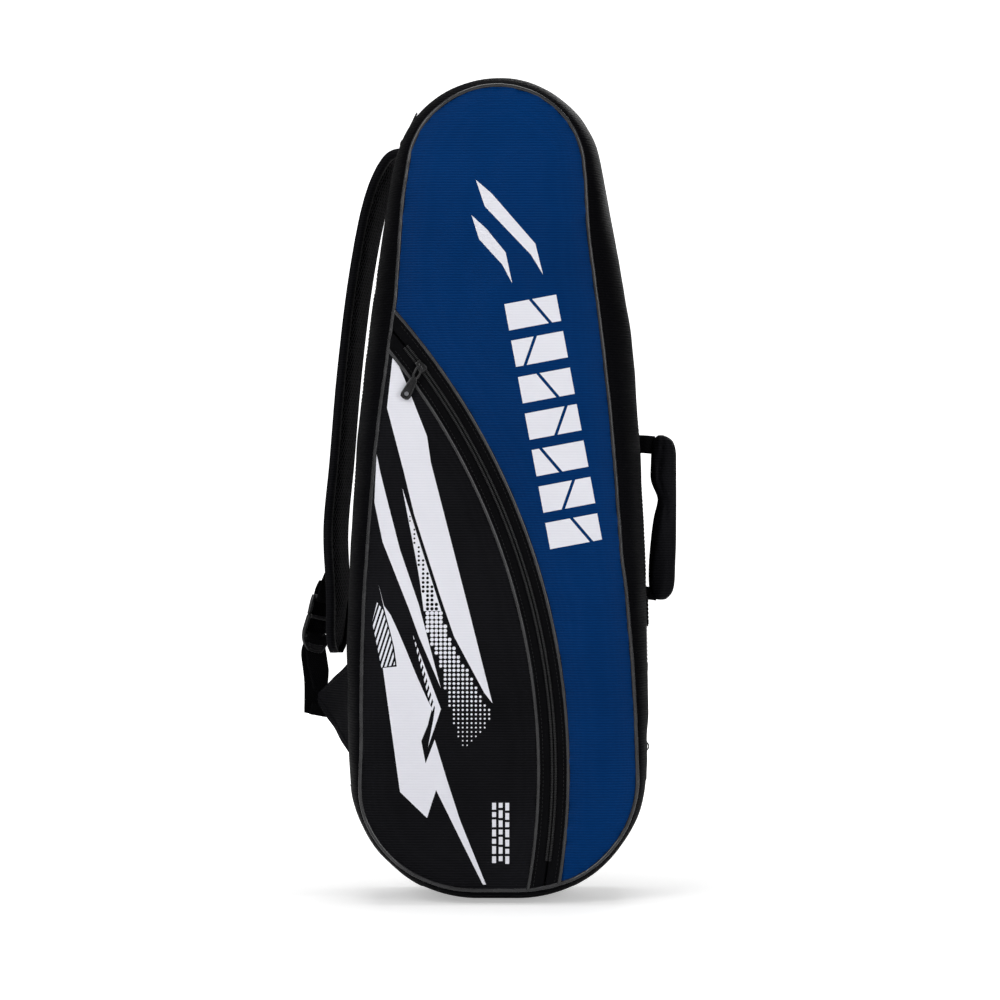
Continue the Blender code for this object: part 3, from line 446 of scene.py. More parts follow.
def stitch_mesh(name, points, normal, length=0.0026, pitch=0.0038, radius=0.00022):
    """A row of thread stitches along points; normal gives the way out of the cloth at a point."""
    seam = resampled(points, pitch)
    rings = ((-0.48, 0.45), (-0.3, 1.0), (0.3, 1.0), (0.48, 0.45))
    sides = 6
    verts, faces = [], []
    for a, b in zip(seam, seam[1:]):
        ahead = (b - a).normalized()
        out = normal(a).normalized()
        across = out.cross(ahead)
        centre = a + out * radius * 0.4
        base = len(verts)
        for along, wide in rings:
            for k in range(sides):
                turn = 2 * math.pi * k / sides
                offset = across * math.cos(turn) + out * math.sin(turn)
                verts.append(tuple(centre + ahead * (along * length) + offset * (wide * radius)))
        for i in range(len(rings) - 1):
            low, high = base + i * sides, base + (i + 1) * sides
            for k in range(sides):
                after = (k + 1) % sides
                faces.append((low + k, low + after, high + after, high + k))
        faces.append(tuple(base + k for k in reversed(range(sides))))
        faces.append(tuple(base + (len(rings) - 1) * sides + k for k in range(sides)))
    mesh = bpy.data.meshes.new(name)
    mesh.from_pydata(verts, [], faces)
    return mesh


# ---------------------------------------------------------------- the outline
class Outline:
    """The bag's outline as a function of the angle of its outward normal, -90 to 270 degrees."""

    def __init__(self):
        low, high = Vector((BASE_HALF, CORNER_R)), Vector((0.0, HEIGHT - TOP_R))
        to_low, to_high = SIDE_R - CORNER_R, SIDE_R - TOP_R
        gap = high - low
        along = (to_low**2 - to_high**2 + gap.length_squared) / (2 * gap.length)
        up = gap.normalized()
        side = low + up * along + Vector((-up.y, up.x)) * math.sqrt(to_low**2 - along**2)
        self.low, self.high, self.side = low, high, side
        self.turn_low = math.degrees(math.atan2(low.y - side.y, low.x - side.x))
        self.turn_high = math.degrees(math.atan2(high.y - side.y, high.x - side.x))

    def arc(self, angle):
        if angle < self.turn_low:
            return self.low, CORNER_R
        if angle < self.turn_high:
            return self.side, SIDE_R
        return self.high, TOP_R

    def at(self, angle, inset=0.0):
        """(x, z) on the outline, inset along the normal."""
        if angle > 270:
            angle -= 360
        mirrored = angle > 90
        own = 180 - angle if mirrored else angle
        centre, radius = self.arc(own)
        x = centre.x + (radius - inset) * math.cos(math.radians(own))
        z = centre.y + (radius - inset) * math.sin(math.radians(own))
        return (-x if mirrored else x, z)

    def angles(self, start, stop, step=0.004):
        """Angles between two angles whose points are about a step apart."""
        low, high = self.turn_low, self.turn_high
        marks = [m + 360 * k for m in (low, high, -90) for k in (0, 1)] + [180 - low, 180 - high]
        stops = sorted({start, stop, *[m for m in marks if start < m < stop]})
        out = [start]
        for a, b in zip(stops, stops[1:]):
            middle = (a + b) / 2 - (360 if (a + b) / 2 > 270 else 0)
            radius = self.arc(180 - middle if middle > 90 else middle)[1]
            count = max(1, math.ceil(math.radians(b - a) * radius / step))
            if abs(b % 360 - 270) < 1e-6 and b < stop:
                out += [a + (b - a) * (k + 1) / count for k in range(count)] + [b + 1e-6]
            else:
                out += [a + (b - a) * (k + 1) / count for k in range(count)]
        return out

    def point(self, angle, y, inset=0.0):
        x, z = self.at(angle, inset)
        return Vector((x, y, z))

    def normal(self, angle):
        turn = math.radians(angle)
        return Vector((math.cos(turn), 0, math.sin(turn)))

    def angle_at(self, z):
        """Normal angle on the right half at a height."""
        return solve(-90.0, 90.0, lambda angle: self.at(angle)[1] < z)

    def height_angle(self, z):
        return math.degrees(math.asin((z - self.side.y) / SIDE_R))

    def side_x(self, z):
        return self.at(self.height_angle(z))[0]

    def half_width(self, z, inset):
        """Half the width at a height, of the outline inset all round."""
        if z > self.high.y + (TOP_R - inset) * math.sin(math.radians(self.turn_high)):
            centre, radius = self.high, TOP_R
        elif z > self.low.y + (CORNER_R - inset) * math.sin(math.radians(self.turn_low)):
            centre, radius = self.side, SIDE_R
        else:
            centre, radius = self.low, CORNER_R
        return centre.x + math.sqrt(max((radius - inset) ** 2 - (z - centre.y) ** 2, 0.0))

    def gap(self, x, z):
        """Distance inside the outline and the nearest point on it."""
        own = abs(x)
        turn = math.degrees(math.atan2(z - self.side.y, own - self.side.x))
        if turn > self.turn_high:
            centre, radius = self.high, TOP_R
        elif turn > self.turn_low:
            centre, radius = self.side, SIDE_R
        elif own > BASE_HALF:
            centre, radius = self.low, CORNER_R
        else:
            return z, Vector((x, 0.0, 0.0))
        offset = Vector((own, z)) - centre
        length = max(offset.length, 1e-6)
        near = centre + offset * (radius / length)
        return radius - length, Vector((math.copysign(near.x, x), 0.0, near.y))


outline = Outline()
# Height on the outline and how far in from it the front piping's outer edge runs, right and left
RIM_RIGHT = (
    (0.0, 0.0115), (0.03, 0.0085), (0.10, 0.0085), (0.15, 0.0113), (0.20, 0.0142), (0.25, 0.0178),
    (0.30, 0.0215), (0.34, 0.0240), (0.46, 0.0248), (0.58, 0.0245), (0.625, 0.0226), (0.672, 0.0175),
    (0.725, 0.0138), (0.76, 0.0115),
)
RIM_LEFT = (
    (0.0, 0.0115), (0.03, 0.0080), (0.075, 0.0075), (0.115, 0.0105), (0.15, 0.0128), (0.225, 0.0143),
    (0.30, 0.0161), (0.37, 0.0177), (0.44, 0.0190), (0.50, 0.0210), (0.55, 0.0216), (0.59, 0.0192),
    (0.625, 0.0160), (0.66, 0.0137), (0.725, 0.0121), (0.76, 0.0115),
)
RIM_STEP = 0.005


def evened(knots):
    """Values at even heights on a smooth curve through the knots."""
    curve = smooth_path([Vector((value, 0, z)) for z, value in knots], 12)
    out = []
    for k in range(math.ceil(HEIGHT / RIM_STEP) + 1):
        z = min(k * RIM_STEP, HEIGHT - 1e-6)
        a, b = next(((a, b) for a, b in zip(curve, curve[1:]) if a.z <= z <= b.z), (curve[-2], curve[-1]))
        out.append(a.x + (b.x - a.x) * (z - a.z) / max(b.z - a.z, 1e-9))
    return out


RIMS = {1: evened(RIM_RIGHT), -1: evened(RIM_LEFT)}


def rim_inset(near):
    """How far in the front piping's outer edge runs from a point of the outline."""
    values = RIMS[1 if near.x > 0 else -1]
    place = min(max(near.z / RIM_STEP, 0.0), len(values) - 1.001)
    k = int(place)
    return values[k] + (values[k + 1] - values[k]) * (place - k)


def rim_gap(x, z):
    """Distance inside the front piping's outer edge, negative beyond it."""
    edge, near = outline.gap(x, z)
    return edge - rim_inset(near)


def rim_x(z, side, more):
    """x of the front rim at a height, this much inside the piping's outer edge."""
    return side * solve(0.0, outline.half_width(z, 0.0), lambda x: rim_gap(side * x, z) > more)


def polar(radius, angle):
    """(x, z) about the pocket zip's centre."""
    turn = math.radians(angle)
    return (ZIP_CENTRE.x + radius * math.cos(turn), ZIP_CENTRE.y + radius * math.sin(turn))


def zip_distance(x, z):
    return math.hypot(x - ZIP_CENTRE.x, z - ZIP_CENTRE.y)


def arc_ends(radius, inset):
    """Angles at which an arc about the zip's centre reaches the front rim, low and high."""

    def inside(angle):
        x, z = polar(radius, angle)
        return rim_gap(x, z) > inset and z > inset

    return solve(20.0, -30.0, inside), solve(20.0, 60.0, inside)


def on_pocket(obj):
    """Cloth and print of the pocket, their transforms baked into their meshes."""
    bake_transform(obj)
    return obj


# ---------------------------------------------------------------- the front
def puckered(near, gap, seed):
    """Gathering of the cloth at a seam, constant along the way in from it."""
    shift = Vector((0, seed, 0))
    wave = noise.noise(near * 95 + shift) + 0.6 * noise.noise(near * 210 + shift)
    return PUCKER * wave * math.exp(-gap / PUCKER_OVER)


def cloth_y(x, z, zip_gap, zip_near, rise, seed):
    """Depth of a front panel's cloth: it rises from its seams, gathers at them and billows a little."""
    edge, near = outline.gap(x, z)
    seam = max(edge - rim_inset(near) - 2 * PIPING_R, 0.0)
    zip_gap = max(zip_gap, 0.0)
    lift = rise * (1 - math.exp(-seam / RISE_OVER)) * (1 - 0.8 * math.exp(-zip_gap / RISE_OVER))
    inner = min(seam, zip_gap)
    billow = 0.0011 * ripples(x * 9, seed, z * 5) * (1 - math.exp(-inner / 0.02))
    billow += 0.00035 * ripples(x * 40, seed, z * 34) * (1 - math.exp(-inner / 0.01))
    gathers = puckered(near, seam, seed) + puckered(zip_near, zip_gap, seed + 5)
    return PANEL_Y + PANEL_START - lift - billow - gathers


def zip_foot(x, z, radius):
    away = Vector((x, z)) - ZIP_CENTRE
    foot = ZIP_CENTRE + away.normalized() * radius
    return Vector((foot.x, 0, foot.y))


def blue_y(x, z):
    return cloth_y(x, z, zip_distance(x, z) - BLUE_EDGE, zip_foot(x, z, BLUE_EDGE), BLUE_RISE, 1.3)


def pocket_y(x, z):
    return cloth_y(x, z, POCKET_EDGE - zip_distance(x, z), zip_foot(x, z, POCKET_EDGE), POCKET_RISE, 7.7)


def arc_x(z, radius):
    return ZIP_CENTRE.x + math.sqrt(max(radius**2 - (z - ZIP_CENTRE.y) ** 2, 0.0))


def panel_rows(low_z, high_z, left, right, depth, count_z, count_x):
    """Rows of a panel between its two edges, closer together near its rim."""
    rows = []
    for i in range(count_z + 1):
        t = i / count_z
        z = low_z + (high_z - low_z) * (0.35 * t + 0.65 * (1 - math.cos(math.pi * t)) / 2)
        a, b = left(z), right(z)
        row = []
        for j in range(count_x + 1):
            s = j / count_x
            x = a + (b - a) * (0.5 * s + 0.5 * (1 - math.cos(math.pi * s)) / 2)
            row.append(Vector((x, depth(x, z), z)))
        rows.append(row)
    return rows


def make_front_panel():
    """The blue panel, between the front piping and the pocket's upper piping."""
    bottom = solve(0.10, 0.0, lambda z: rim_gap(arc_x(z, BLUE_EDGE), z) > PIPING_R)
    rows = panel_rows(
        bottom,
        HEIGHT - RIM_RIGHT[-1][1] - PIPING_R,
        lambda z: max(rim_x(z, -1, PIPING_R), arc_x(z, BLUE_EDGE - PIPING_R)),
        lambda z: rim_x(z, 1, PIPING_R),
        blue_y,
        300,
        90,
    )
    mesh = thickened(faced(welded(rows_mesh("front_panel_cloth", rows)), forwards), CLOTH_T)
    cloth = finished("front_panel_cloth", mesh, "blue_fabric", "lid")
    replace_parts(cloth, "front_panel")


def make_pocket_cloth():
    """The pocket's face and lip as one cloth."""
    top = solve(0.3, 0.7, lambda z: rim_gap(arc_x(z, POCKET_EDGE), z) > PIPING_R)
    rows = panel_rows(
        RIM_LEFT[0][1] + PIPING_R,
        top,
        lambda z: rim_x(z, -1, PIPING_R),
        lambda z: min(rim_x(z, 1, PIPING_R), arc_x(z, POCKET_EDGE + PIPING_R)),
        pocket_y,
        260,
        80,
    )
    mesh = thickened(faced(welded(rows_mesh("pocket_cloth", rows)), forwards), CLOTH_T)
    cloth = finished("pocket_cloth", mesh, "black_fabric", None)
    on_pocket(cloth)
    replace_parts(cloth, "pocket_panel", "pocket_lip")


def on_lid_or_mouth(name, mesh, material, on_mouth):
    """A piece of the pocket's zip: the blue side rides on the lid, the pocket side is baked in place."""
    made = finished(name, mesh, material, None if on_mouth else "lid")
    return on_pocket(made) if on_mouth else made


def make_zip_strip():
    """The pocket zip: two tapes, two rows of teeth, two pipings and two rows of seam stitching."""
    tape_y = PANEL_Y + 0.0016
    middle_gap = 0.0007
    seam_in = 0.0042
    sides = (
        ("blue_side", "upper", UPPER_PIPING_R, 1, (UPPER_PIPING_R, ZIP_R + middle_gap), False),
        ("pocket_side", "lower", LOWER_PIPING_R, -1, (ZIP_R - middle_gap, LOWER_PIPING_R), True),
    )
    for label, row, _, _, radii, on_mouth in sides:
        mesh = tape_mesh(radii, tape_y)
        tape = on_lid_or_mouth(f"pocket_zip_tape_{label}", mesh, "zip_tape", on_mouth)
        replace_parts(tape, f"pocket_zip_tape_{row}")
    for label, row, _, way, _, on_mouth in sides:
        mesh = arc_teeth_mesh(ZIP_R + way * ROW_OFF)
        teeth = on_lid_or_mouth(f"pocket_zip_teeth_{label}", mesh, "coil", on_mouth)
        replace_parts(teeth, f"pocket_coil_{row}")
    for label, row, radius, _, _, on_mouth in sides:
        points = []
        for angle in spread(*arc_ends(radius, PIPING_R), 260):
            x, z = polar(radius, angle)
            points.append(Vector((x, PANEL_Y + 0.0012 + 0.0002 * ripples(x * 50, 3, z * 50), z)))
        mesh = tube_mesh("piping", points, PIPING_R, 10, wobble=0.08)
        piping = on_lid_or_mouth(f"pocket_piping_{label}", mesh, "piping", on_mouth)
        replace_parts(piping, f"pocket_piping_{row}")
    for label, _, radius, way, _, on_mouth in sides:
        radius -= way * seam_in
        places = [polar(radius, angle) for angle in spread(*arc_ends(radius, PIPING_R + 0.004), 200)]
        mesh = stitch_mesh("seam", [Vector((x, tape_y - 0.0006, z)) for x, z in places], forwards)
        on_lid_or_mouth(f"zip_stitches_{label}", mesh, "thread", on_mouth)


def tape_mesh(radii, tape_y):
    """A zip tape between two arcs about the zip's centre."""
    ends = [arc_ends(radius, PIPING_R) for radius in radii]
    rows = []
    for share in spread(0, 1, 8):
        radius, low, high = (a + (b - a) * share for a, b in zip((radii[0], *ends[0]), (radii[1], *ends[1])))
        crown = 0.0007 * math.sin(math.pi * share)
        row = []
        for angle in spread(low, high, 240):
            x, z = polar(radius, angle)
            row.append(Vector((x, tape_y - crown - 0.00025 * ripples(x * 60, share * 2, z * 60), z)))
        rows.append(row)
    return skin_mesh("tape", rows, forwards, 0.0007)


def arc_teeth_mesh(radius):
    """A row of teeth along the pocket's zip, a little past its stops."""
    start, stop = SLIDER_OPEN - 2.2, SLIDER_CLOSED + 2.2
    count = int(math.radians(stop - start) * radius / 0.0015)
    places = []
    for angle in spread(start, stop, count)[:-1]:
        x, z = polar(radius, angle)
        places.append((Vector((x, PANEL_Y + 0.0003, z)), outline.normal(angle), Vector((0, -1, 0))))
    return teeth_mesh("teeth", places)


def polyline(corners, steps):
    """Points along straight lines between corners, the last corner left out."""
    out = []
    for (ax, az), (bx, bz) in zip(corners, corners[1:]):
        out += [(ax + (bx - ax) * k / steps, az + (bz - az) * k / steps) for k in range(steps)]
    return out


def teeth_mesh(name, places, wide=0.0013, long=0.00062, high=0.0007):
    """Zip teeth as small rounded bars: each place is a point, the way across the zip and the way out."""
    profile = [(-1, 0.0), (-0.9, 0.75), (0, 1.0), (0.9, 0.75), (1, 0.0)]
    verts, faces = [], []
    for point, across, out in places:
        ahead = out.cross(across)
        base = len(verts)
        for side in (-1, 1):
            for u, v in profile:
                taper = 1 - 0.25 * abs(u)
                section = point + across * (u * wide) + out * (v * high)
                verts.append(tuple(section + ahead * (side * long * taper)))
        n = len(profile)
        for k in range(n - 1):
            faces.append((base + k, base + k + 1, base + n + k + 1, base + n + k))
        faces.append(tuple(base + k for k in range(n))[::-1])
        faces.append(tuple(base + n + k for k in range(n)))
        faces.append((base, base + n, base + 2 * n - 1, base + n - 1))
    mesh = bpy.data.meshes.new(name)
    mesh.from_pydata(verts, [], faces)
    return fix_normals(mesh)


# ---------------------------------------------------------------- print on the pocket and the panel
def cut_by(mesh_bm, axis, step):
    """Cut a flat shape by evenly spaced planes, so that it can follow a curved cloth."""
    values = [v.co[axis] for v in mesh_bm.verts]
    at = math.ceil(min(values) / step) * step
    normal = [0, 0, 0]
    normal[axis] = 1
    while at < max(values):
        point = [0, 0, 0]
        point[axis] = at
        geometry = [*mesh_bm.verts, *mesh_bm.edges, *mesh_bm.faces]
        bmesh.ops.bisect_plane(mesh_bm, geom=geometry, plane_co=point, plane_no=normal)
        at += step


def printed(name, shapes, depth, lift, step=0.004):
    """A thin layer of print: flat outlines in (x, z), cut small and laid on the cloth."""
    bm = bmesh.new()
    for shape in shapes:
        own = bmesh.new()
        own.faces.new([own.verts.new((x, 0, z)) for x, z in shape])
        own.normal_update()
        bmesh.ops.triangulate(own, faces=own.faces, ngon_method="EAR_CLIP")
        if max(abs(a[k] - b[k]) for a in shape for b in shape for k in (0, 1)) > step:
            cut_by(own, 0, step)
            cut_by(own, 2, step)
        for face in own.faces:
            if face.normal.y > 0:
                face.normal_flip()
        flat = bpy.data.meshes.new("flat")
        own.to_mesh(flat)
        own.free()
        bm.from_mesh(flat)
        bpy.data.meshes.remove(flat)
    for v in bm.verts:
        v.co.y = depth(v.co.x, v.co.z) - lift
    mesh = bpy.data.meshes.new(name)
    bm.to_mesh(mesh)
    bm.free()
    return mesh


def clipped(shape, corner_loop):
    """A convex shape cut to a convex outline that runs anticlockwise."""
    out = list(shape)
    for (ax, az), (bx, bz) in zip(corner_loop, [*corner_loop[1:], corner_loop[0]]):
        kept = []
        for p, q in zip(out, [*out[1:], out[0]]):
            p_in = (bx - ax) * (p[1] - az) - (bz - az) * (p[0] - ax)
            q_in = (bx - ax) * (q[1] - az) - (bz - az) * (q[0] - ax)
            if p_in >= 0:
                kept.append(p)
            if p_in * q_in < 0:
                t = p_in / (p_in - q_in)
                kept.append((p[0] + (q[0] - p[0]) * t, p[1] + (q[1] - p[1]) * t))
        out = kept
        if len(out) < 3:
            return []
    return out


def hatching(patch, lean=72.0, pitch=0.0036, stroke=0.0019):
    """Slanting stripes that fill a convex patch."""
    turn = math.radians(lean)
    along = Vector((math.cos(turn), math.sin(turn)))
    across = Vector((along.y, -along.x))
    middle = sum((Vector(p) for p in patch), Vector((0, 0))) / len(patch)
    stripes = []
    for k in range(-30, 31):
        centre = middle + across * (k * pitch)
        a, b = centre - across * stroke / 2, centre + across * stroke / 2
        bar = [tuple(a - along), tuple(b - along), tuple(b + along), tuple(a + along)]
        cut = clipped(bar, patch)
        if cut:
            stripes.append(cut)
    return stripes


def ring_loop(x, y, radius, steps=20):
    """Points round a circle."""
    turns = [2 * math.pi * k / steps for k in range(steps)]
    return [(x + radius * math.cos(t), y + radius * math.sin(t)) for t in turns]


FLASH_LONG = [
    (-0.0955, 0.5035), (-0.0845, 0.478), (-0.0645, 0.427), (-0.061, 0.403), (-0.028, 0.275), (-0.005, 0.184),
    (-0.0127, 0.194), (-0.040, 0.245), (-0.052, 0.280), (-0.076, 0.355), (-0.086, 0.396), (-0.101, 0.453),
]
FLASH_SHORT = [
    (-0.1105, 0.411), (-0.107, 0.394), (-0.101, 0.370), (-0.089, 0.3235), (-0.072, 0.274), (-0.052, 0.198),
    (-0.072, 0.245), (-0.081, 0.270), (-0.105, 0.331), (-0.1125, 0.367),
]
BOLT = [
    (-0.1085, 0.2914), (-0.1036, 0.2726), (-0.0977, 0.2647), (-0.0907, 0.2494), (-0.0831, 0.2315),
    (-0.0754, 0.2125), (-0.0651, 0.1893), (-0.0600, 0.1792), (-0.0639, 0.1639), (-0.0697, 0.1498),
    (-0.0658, 0.1294), (-0.0575, 0.1510), (-0.0463, 0.1143), (-0.0345, 0.0779), (-0.0108, 0.0188),
    (-0.0137, 0.0188), (-0.0563, 0.1052), (-0.0645, 0.0797), (-0.0891, 0.1034), (-0.1047, 0.2162),
    (-0.0920, 0.2175), (-0.0945, 0.2353), (-0.0983, 0.2507), (-0.1028, 0.2671),
]
STRIPE = [
    (-0.0718, 0.2316), (-0.0518, 0.1788), (-0.0564, 0.1652), (-0.0636, 0.1442), (-0.0588, 0.1690),
    (-0.0573, 0.1800),
]
HATCH_LEFT = [
    (-0.1060, 0.2165), (-0.0935, 0.2190), (-0.0965, 0.2400), (-0.1045, 0.2690), (-0.1100, 0.2760),
    (-0.1145, 0.2580),
]
HATCH_RIGHT = [
    (-0.0609, 0.1797), (-0.0600, 0.1761), (-0.0563, 0.1815), (-0.0727, 0.2343), (-0.0791, 0.2507),
    (-0.0973, 0.2653),
]
SLIVER_LEFT = [
    (-0.087, 0.380), (-0.072, 0.302), (-0.0654, 0.2526), (-0.052, 0.216), (-0.043, 0.175), (-0.033, 0.142),
]
SLIVER_RIGHT = [(-0.087, 0.380), (-0.0427, 0.2407), (-0.0072, 0.177), (-0.0081, 0.165), (-0.028, 0.143)]
HALFTONE_TOP = 0.380
HALFTONE_LOW = 0.142
HALFTONE_PITCH = 0.0040
HALFTONE_TURN_Z = 0.268


def across_at(line, z):
    """x on a line of points at a height."""
    for (ax, az), (bx, bz) in zip(line, line[1:]):
        if az >= z >= bz:
            return ax + (bx - ax) * (az - z) / max(az - bz, 1e-9)
    return line[-1][0] if z < line[-1][1] else line[0][0]


def halftone():
    """White with growing black dots above, and shrinking white dots on black below."""
    rows = spread(HALFTONE_TURN_Z, HALFTONE_TOP, 8)
    left = [(across_at(SLIVER_LEFT, z), z) for z in rows]
    right = [(across_at(SLIVER_RIGHT, z), z) for z in rows]
    ground = left[:-1] + right[::-1]
    black, white = [], []
    first_row = HALFTONE_TOP - HALFTONE_PITCH / 2
    z = first_row
    while z > HALFTONE_LOW:
        a, b = across_at(SLIVER_LEFT, z), across_at(SLIVER_RIGHT, z)
        x = math.floor(a / HALFTONE_PITCH) * HALFTONE_PITCH
        while x < b:
            if z > HALFTONE_TURN_Z:
                radius = 0.0005 + 0.0011 * (first_row - z) / (first_row - HALFTONE_TURN_Z)
                if a + radius < x < b - radius:
                    black.append(ring_loop(x, z, radius, 10))
            elif a < x < b:
                share = (HALFTONE_TURN_Z - z) / (HALFTONE_TURN_Z - HALFTONE_LOW)
                white.append(ring_loop(x, z, 0.0019 - 0.0013 * share**1.3, 10))
            x += HALFTONE_PITCH
        z -= HALFTONE_PITCH
    return [ground], black, white


def make_prints():
    """Angular white flashes, hatching and halftone on the pocket, and plain bars on the blue panel."""
    ground, black, white = halftone()
    layers = (
        ("print_long_flash", [FLASH_LONG]),
        ("print_short_flash", [FLASH_SHORT]),
        ("print_stripe", [STRIPE]),
        ("print_bolt", [BOLT]),
        ("print_hatching", hatching(HATCH_LEFT) + hatching(HATCH_RIGHT)),
        ("print_halftone_ground", ground),
        ("print_halftone_gaps", black),
        ("print_halftone_dots", white),
        ("print_small_dashes", small_dashes()),
    )
    over = {"print_stripe": 0.00002, "print_halftone_gaps": 0.00010}
    for name, shapes in layers:
        mesh = printed(name, shapes, pocket_y, PRINT_LIFT + over.get(name, 0.0))
        material = "black_fabric" if name == "print_halftone_gaps" else "print"
        on_pocket(finished(name, mesh, material, None))
    bars = printed("print_panel_bars", panel_bars(), blue_y, PRINT_LIFT)
    finished("print_panel_bars", bars, "print", "lid")


def small_dashes():
    """A block of short plain dashes low on the pocket."""
    shapes = []
    for column, x in enumerate((-0.0035, 0.0025, 0.0085)):
        z = 0.0935
        for k in range(7):
            length = (0.0062, 0.0045, 0.0070)[(k + column) % 3]
            low, left, right = z - length, x - 0.0018, x + 0.0018
            shapes.append([(left, low), (right, low), (right, z), (left, z)])
            z -= length + 0.0022
    return shapes


def panel_bars():
    """Generic slanting bars down the blue panel: two strokes, then a column of plain blocks."""
    shapes = [
        [(-0.020, 0.660), (-0.012, 0.636), (0.030, 0.592), (0.041, 0.574), (0.034, 0.602), (-0.006, 0.648)],
        [(-0.024, 0.628), (-0.017, 0.606), (0.004, 0.583), (0.013, 0.566), (0.007, 0.594), (-0.010, 0.615)],
    ]
    top, drop = Vector((0.0285, 0.556)), Vector((0.0435, -0.232))
    along = drop.normalized()
    across = Vector((-along.y, along.x))
    count = 7
    pitch = drop.length / count
    half, cut = 0.0240, 0.0016
    for k in range(count):
        centre = top + along * (pitch * (k + 0.5))
        tall = along * (pitch * 0.36)
        lean = 0.007 if k % 2 else -0.007
        split = half * (0.30, -0.36, 0.06)[k % 3]
        halves = ((-half, split - cut, 0.0, lean), (split + cut, half, lean, 0.0))
        for start, stop, low_lean, high_lean in halves:
            shapes.append([
                tuple(centre + across * (start + low_lean) - tall),
                tuple(centre + across * (stop + high_lean) - tall),
                tuple(centre + across * (stop - high_lean) + tall),
                tuple(centre + across * (start - low_lean) + tall),
            ])
    return shapes


# ---------------------------------------------------------------- the sides
def band_profile(seam_y, flat_y, edge_y, inset, steps=10, flats=12):
    """(y, inset) stations from a seam, over its rounding, to the edge at the main zip."""
    out = []
    for k in range(steps + 1):
        turn = math.pi / 2 * k / steps
        out.append((seam_y + (flat_y - seam_y) * (1 - math.cos(turn)), inset * (1 - math.sin(turn))))
    for k in range(1, flats + 1):
        out.append((flat_y + (edge_y - flat_y) * k / flats, 0.0))
    return out


def crumpled(point, seed):
    """Soft folds of a side panel: broad hollows and small creases that run across it."""
    x, y, z = point
    broad = ripples(x * 7, y * 9 + seed, z * 7)
    fold = ripples(x * 14, y * 22 + seed, z * 30)
    fine = ripples(x * 55, y * 26 + seed, z * 55)
    return 0.0016 * broad + 0.0011 * fold + 0.0004 * fine


def bulge(x, z):
    """How much further the right side swells in front of the main zip."""
    swells = ((0.0048, 0.53, 0.065), (0.0015, 0.42, 0.05))
    return sum(high * math.exp(-(((z - at) / wide) ** 2)) for high, at, wide in swells) if x > 0 else 0.0


def edge_inset(point, body):
    """How far in a body's outer seam runs from a point of the outline."""
    return rim_inset(point) if body == "lid" else BACK_INSET


def side_band(name, node_name, profile, body, seed):
    """A band of cloth round the outline, its folds fading at both edges; insets are shares of its seam's."""
    stand_z = 0.012
    low_y, high_y = min(p[0] for p in profile), max(p[0] for p in profile)
    rows = []
    for y, inset in profile:
        share = (y - low_y) / (high_y - low_y)
        ease = math.sin(math.pi * min(max(share, 0.0), 1.0)) ** 0.7
        row = []
        for angle in outline.angles(-90, 270)[:-1]:
            rim = outline.point(angle, y)
            out = outline.normal(angle)
            point = rim - out * inset * edge_inset(rim, body)
            swell = crumpled(point, seed) * ease - 0.0010 * (1 - ease)
            if body == "lid":
                swell += bulge(rim.x, rim.z) * math.sin(math.pi * share) ** 2
            if rim.z < stand_z:
                swell = min(swell, 0.0) * rim.z / stand_z
            row.append(point + out * (swell - 0.0003))
        rows.append(row)
    mesh = skin_mesh(name, rows, from_middle, 0.0012, closed=True)
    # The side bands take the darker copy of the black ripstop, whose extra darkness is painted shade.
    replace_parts(finished(name, mesh, "side_fabric_painted_shade", body), node_name)


def make_sides():
    front = band_profile(FRONT_Y - 0.0012, FRONT_Y + FRONT_ROUND, LID_EDGE_Y, 1.0, 16, 6)
    side_band("front_side_band", "front_gusset", front, "lid", 2.0)
    rear = band_profile(BACK_Y + 0.0012, BACK_Y - BACK_ROUND, TRAY_EDGE_Y, 1.0, 8, 8)
    side_band("rear_side_band", "rear_gusset", rear, "tray", 9.0)
    for name, y, body, node_name in (
        ("front_piping_cord", FRONT_Y - GAP - PIPING_R, "lid", "front_piping"),
        ("rear_piping_cord", BACK_Y + GAP + PIPING_R, "tray", "rear_piping"),
    ):
        points = []
        for angle in outline.angles(-90, 270, 0.003)[:-1]:
            inset = edge_inset(outline.point(angle, 0.0), body)
            point = outline.point(angle, y, inset + PIPING_R)
            sway = 0.00045 * ripples(point.x * 30, y, point.z * 30)
            sway += 0.0002 * ripples(point.x * 120, y, point.z * 120)
            points.append(point + Vector((0, sway, 0)) + outline.normal(angle) * sway)
        mesh = tube_mesh(name, points, PIPING_R, 12, cyclic=True, wobble=0.10)
        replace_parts(finished(name, mesh, "piping", body), node_name)


def seam_line(y, inset, start=-90, stop=270, step=0.004):
    """Points along the outline at a depth."""
    return [outline.point(angle, y, inset) for angle in outline.angles(start, stop, step)]


def outward(point):
    """The way out of the side cloth at a point."""
    _, near = outline.gap(point.x, point.z)
    away = Vector((point.x - near.x, 0, point.z - near.z))
    if away.length < 1e-6 or outline.gap(point.x, point.z)[0] > 0:
        away = Vector((near.x - point.x, 0, near.z - point.z))
    return away if away.length > 1e-6 else Vector((math.copysign(1, point.x), 0, 0))


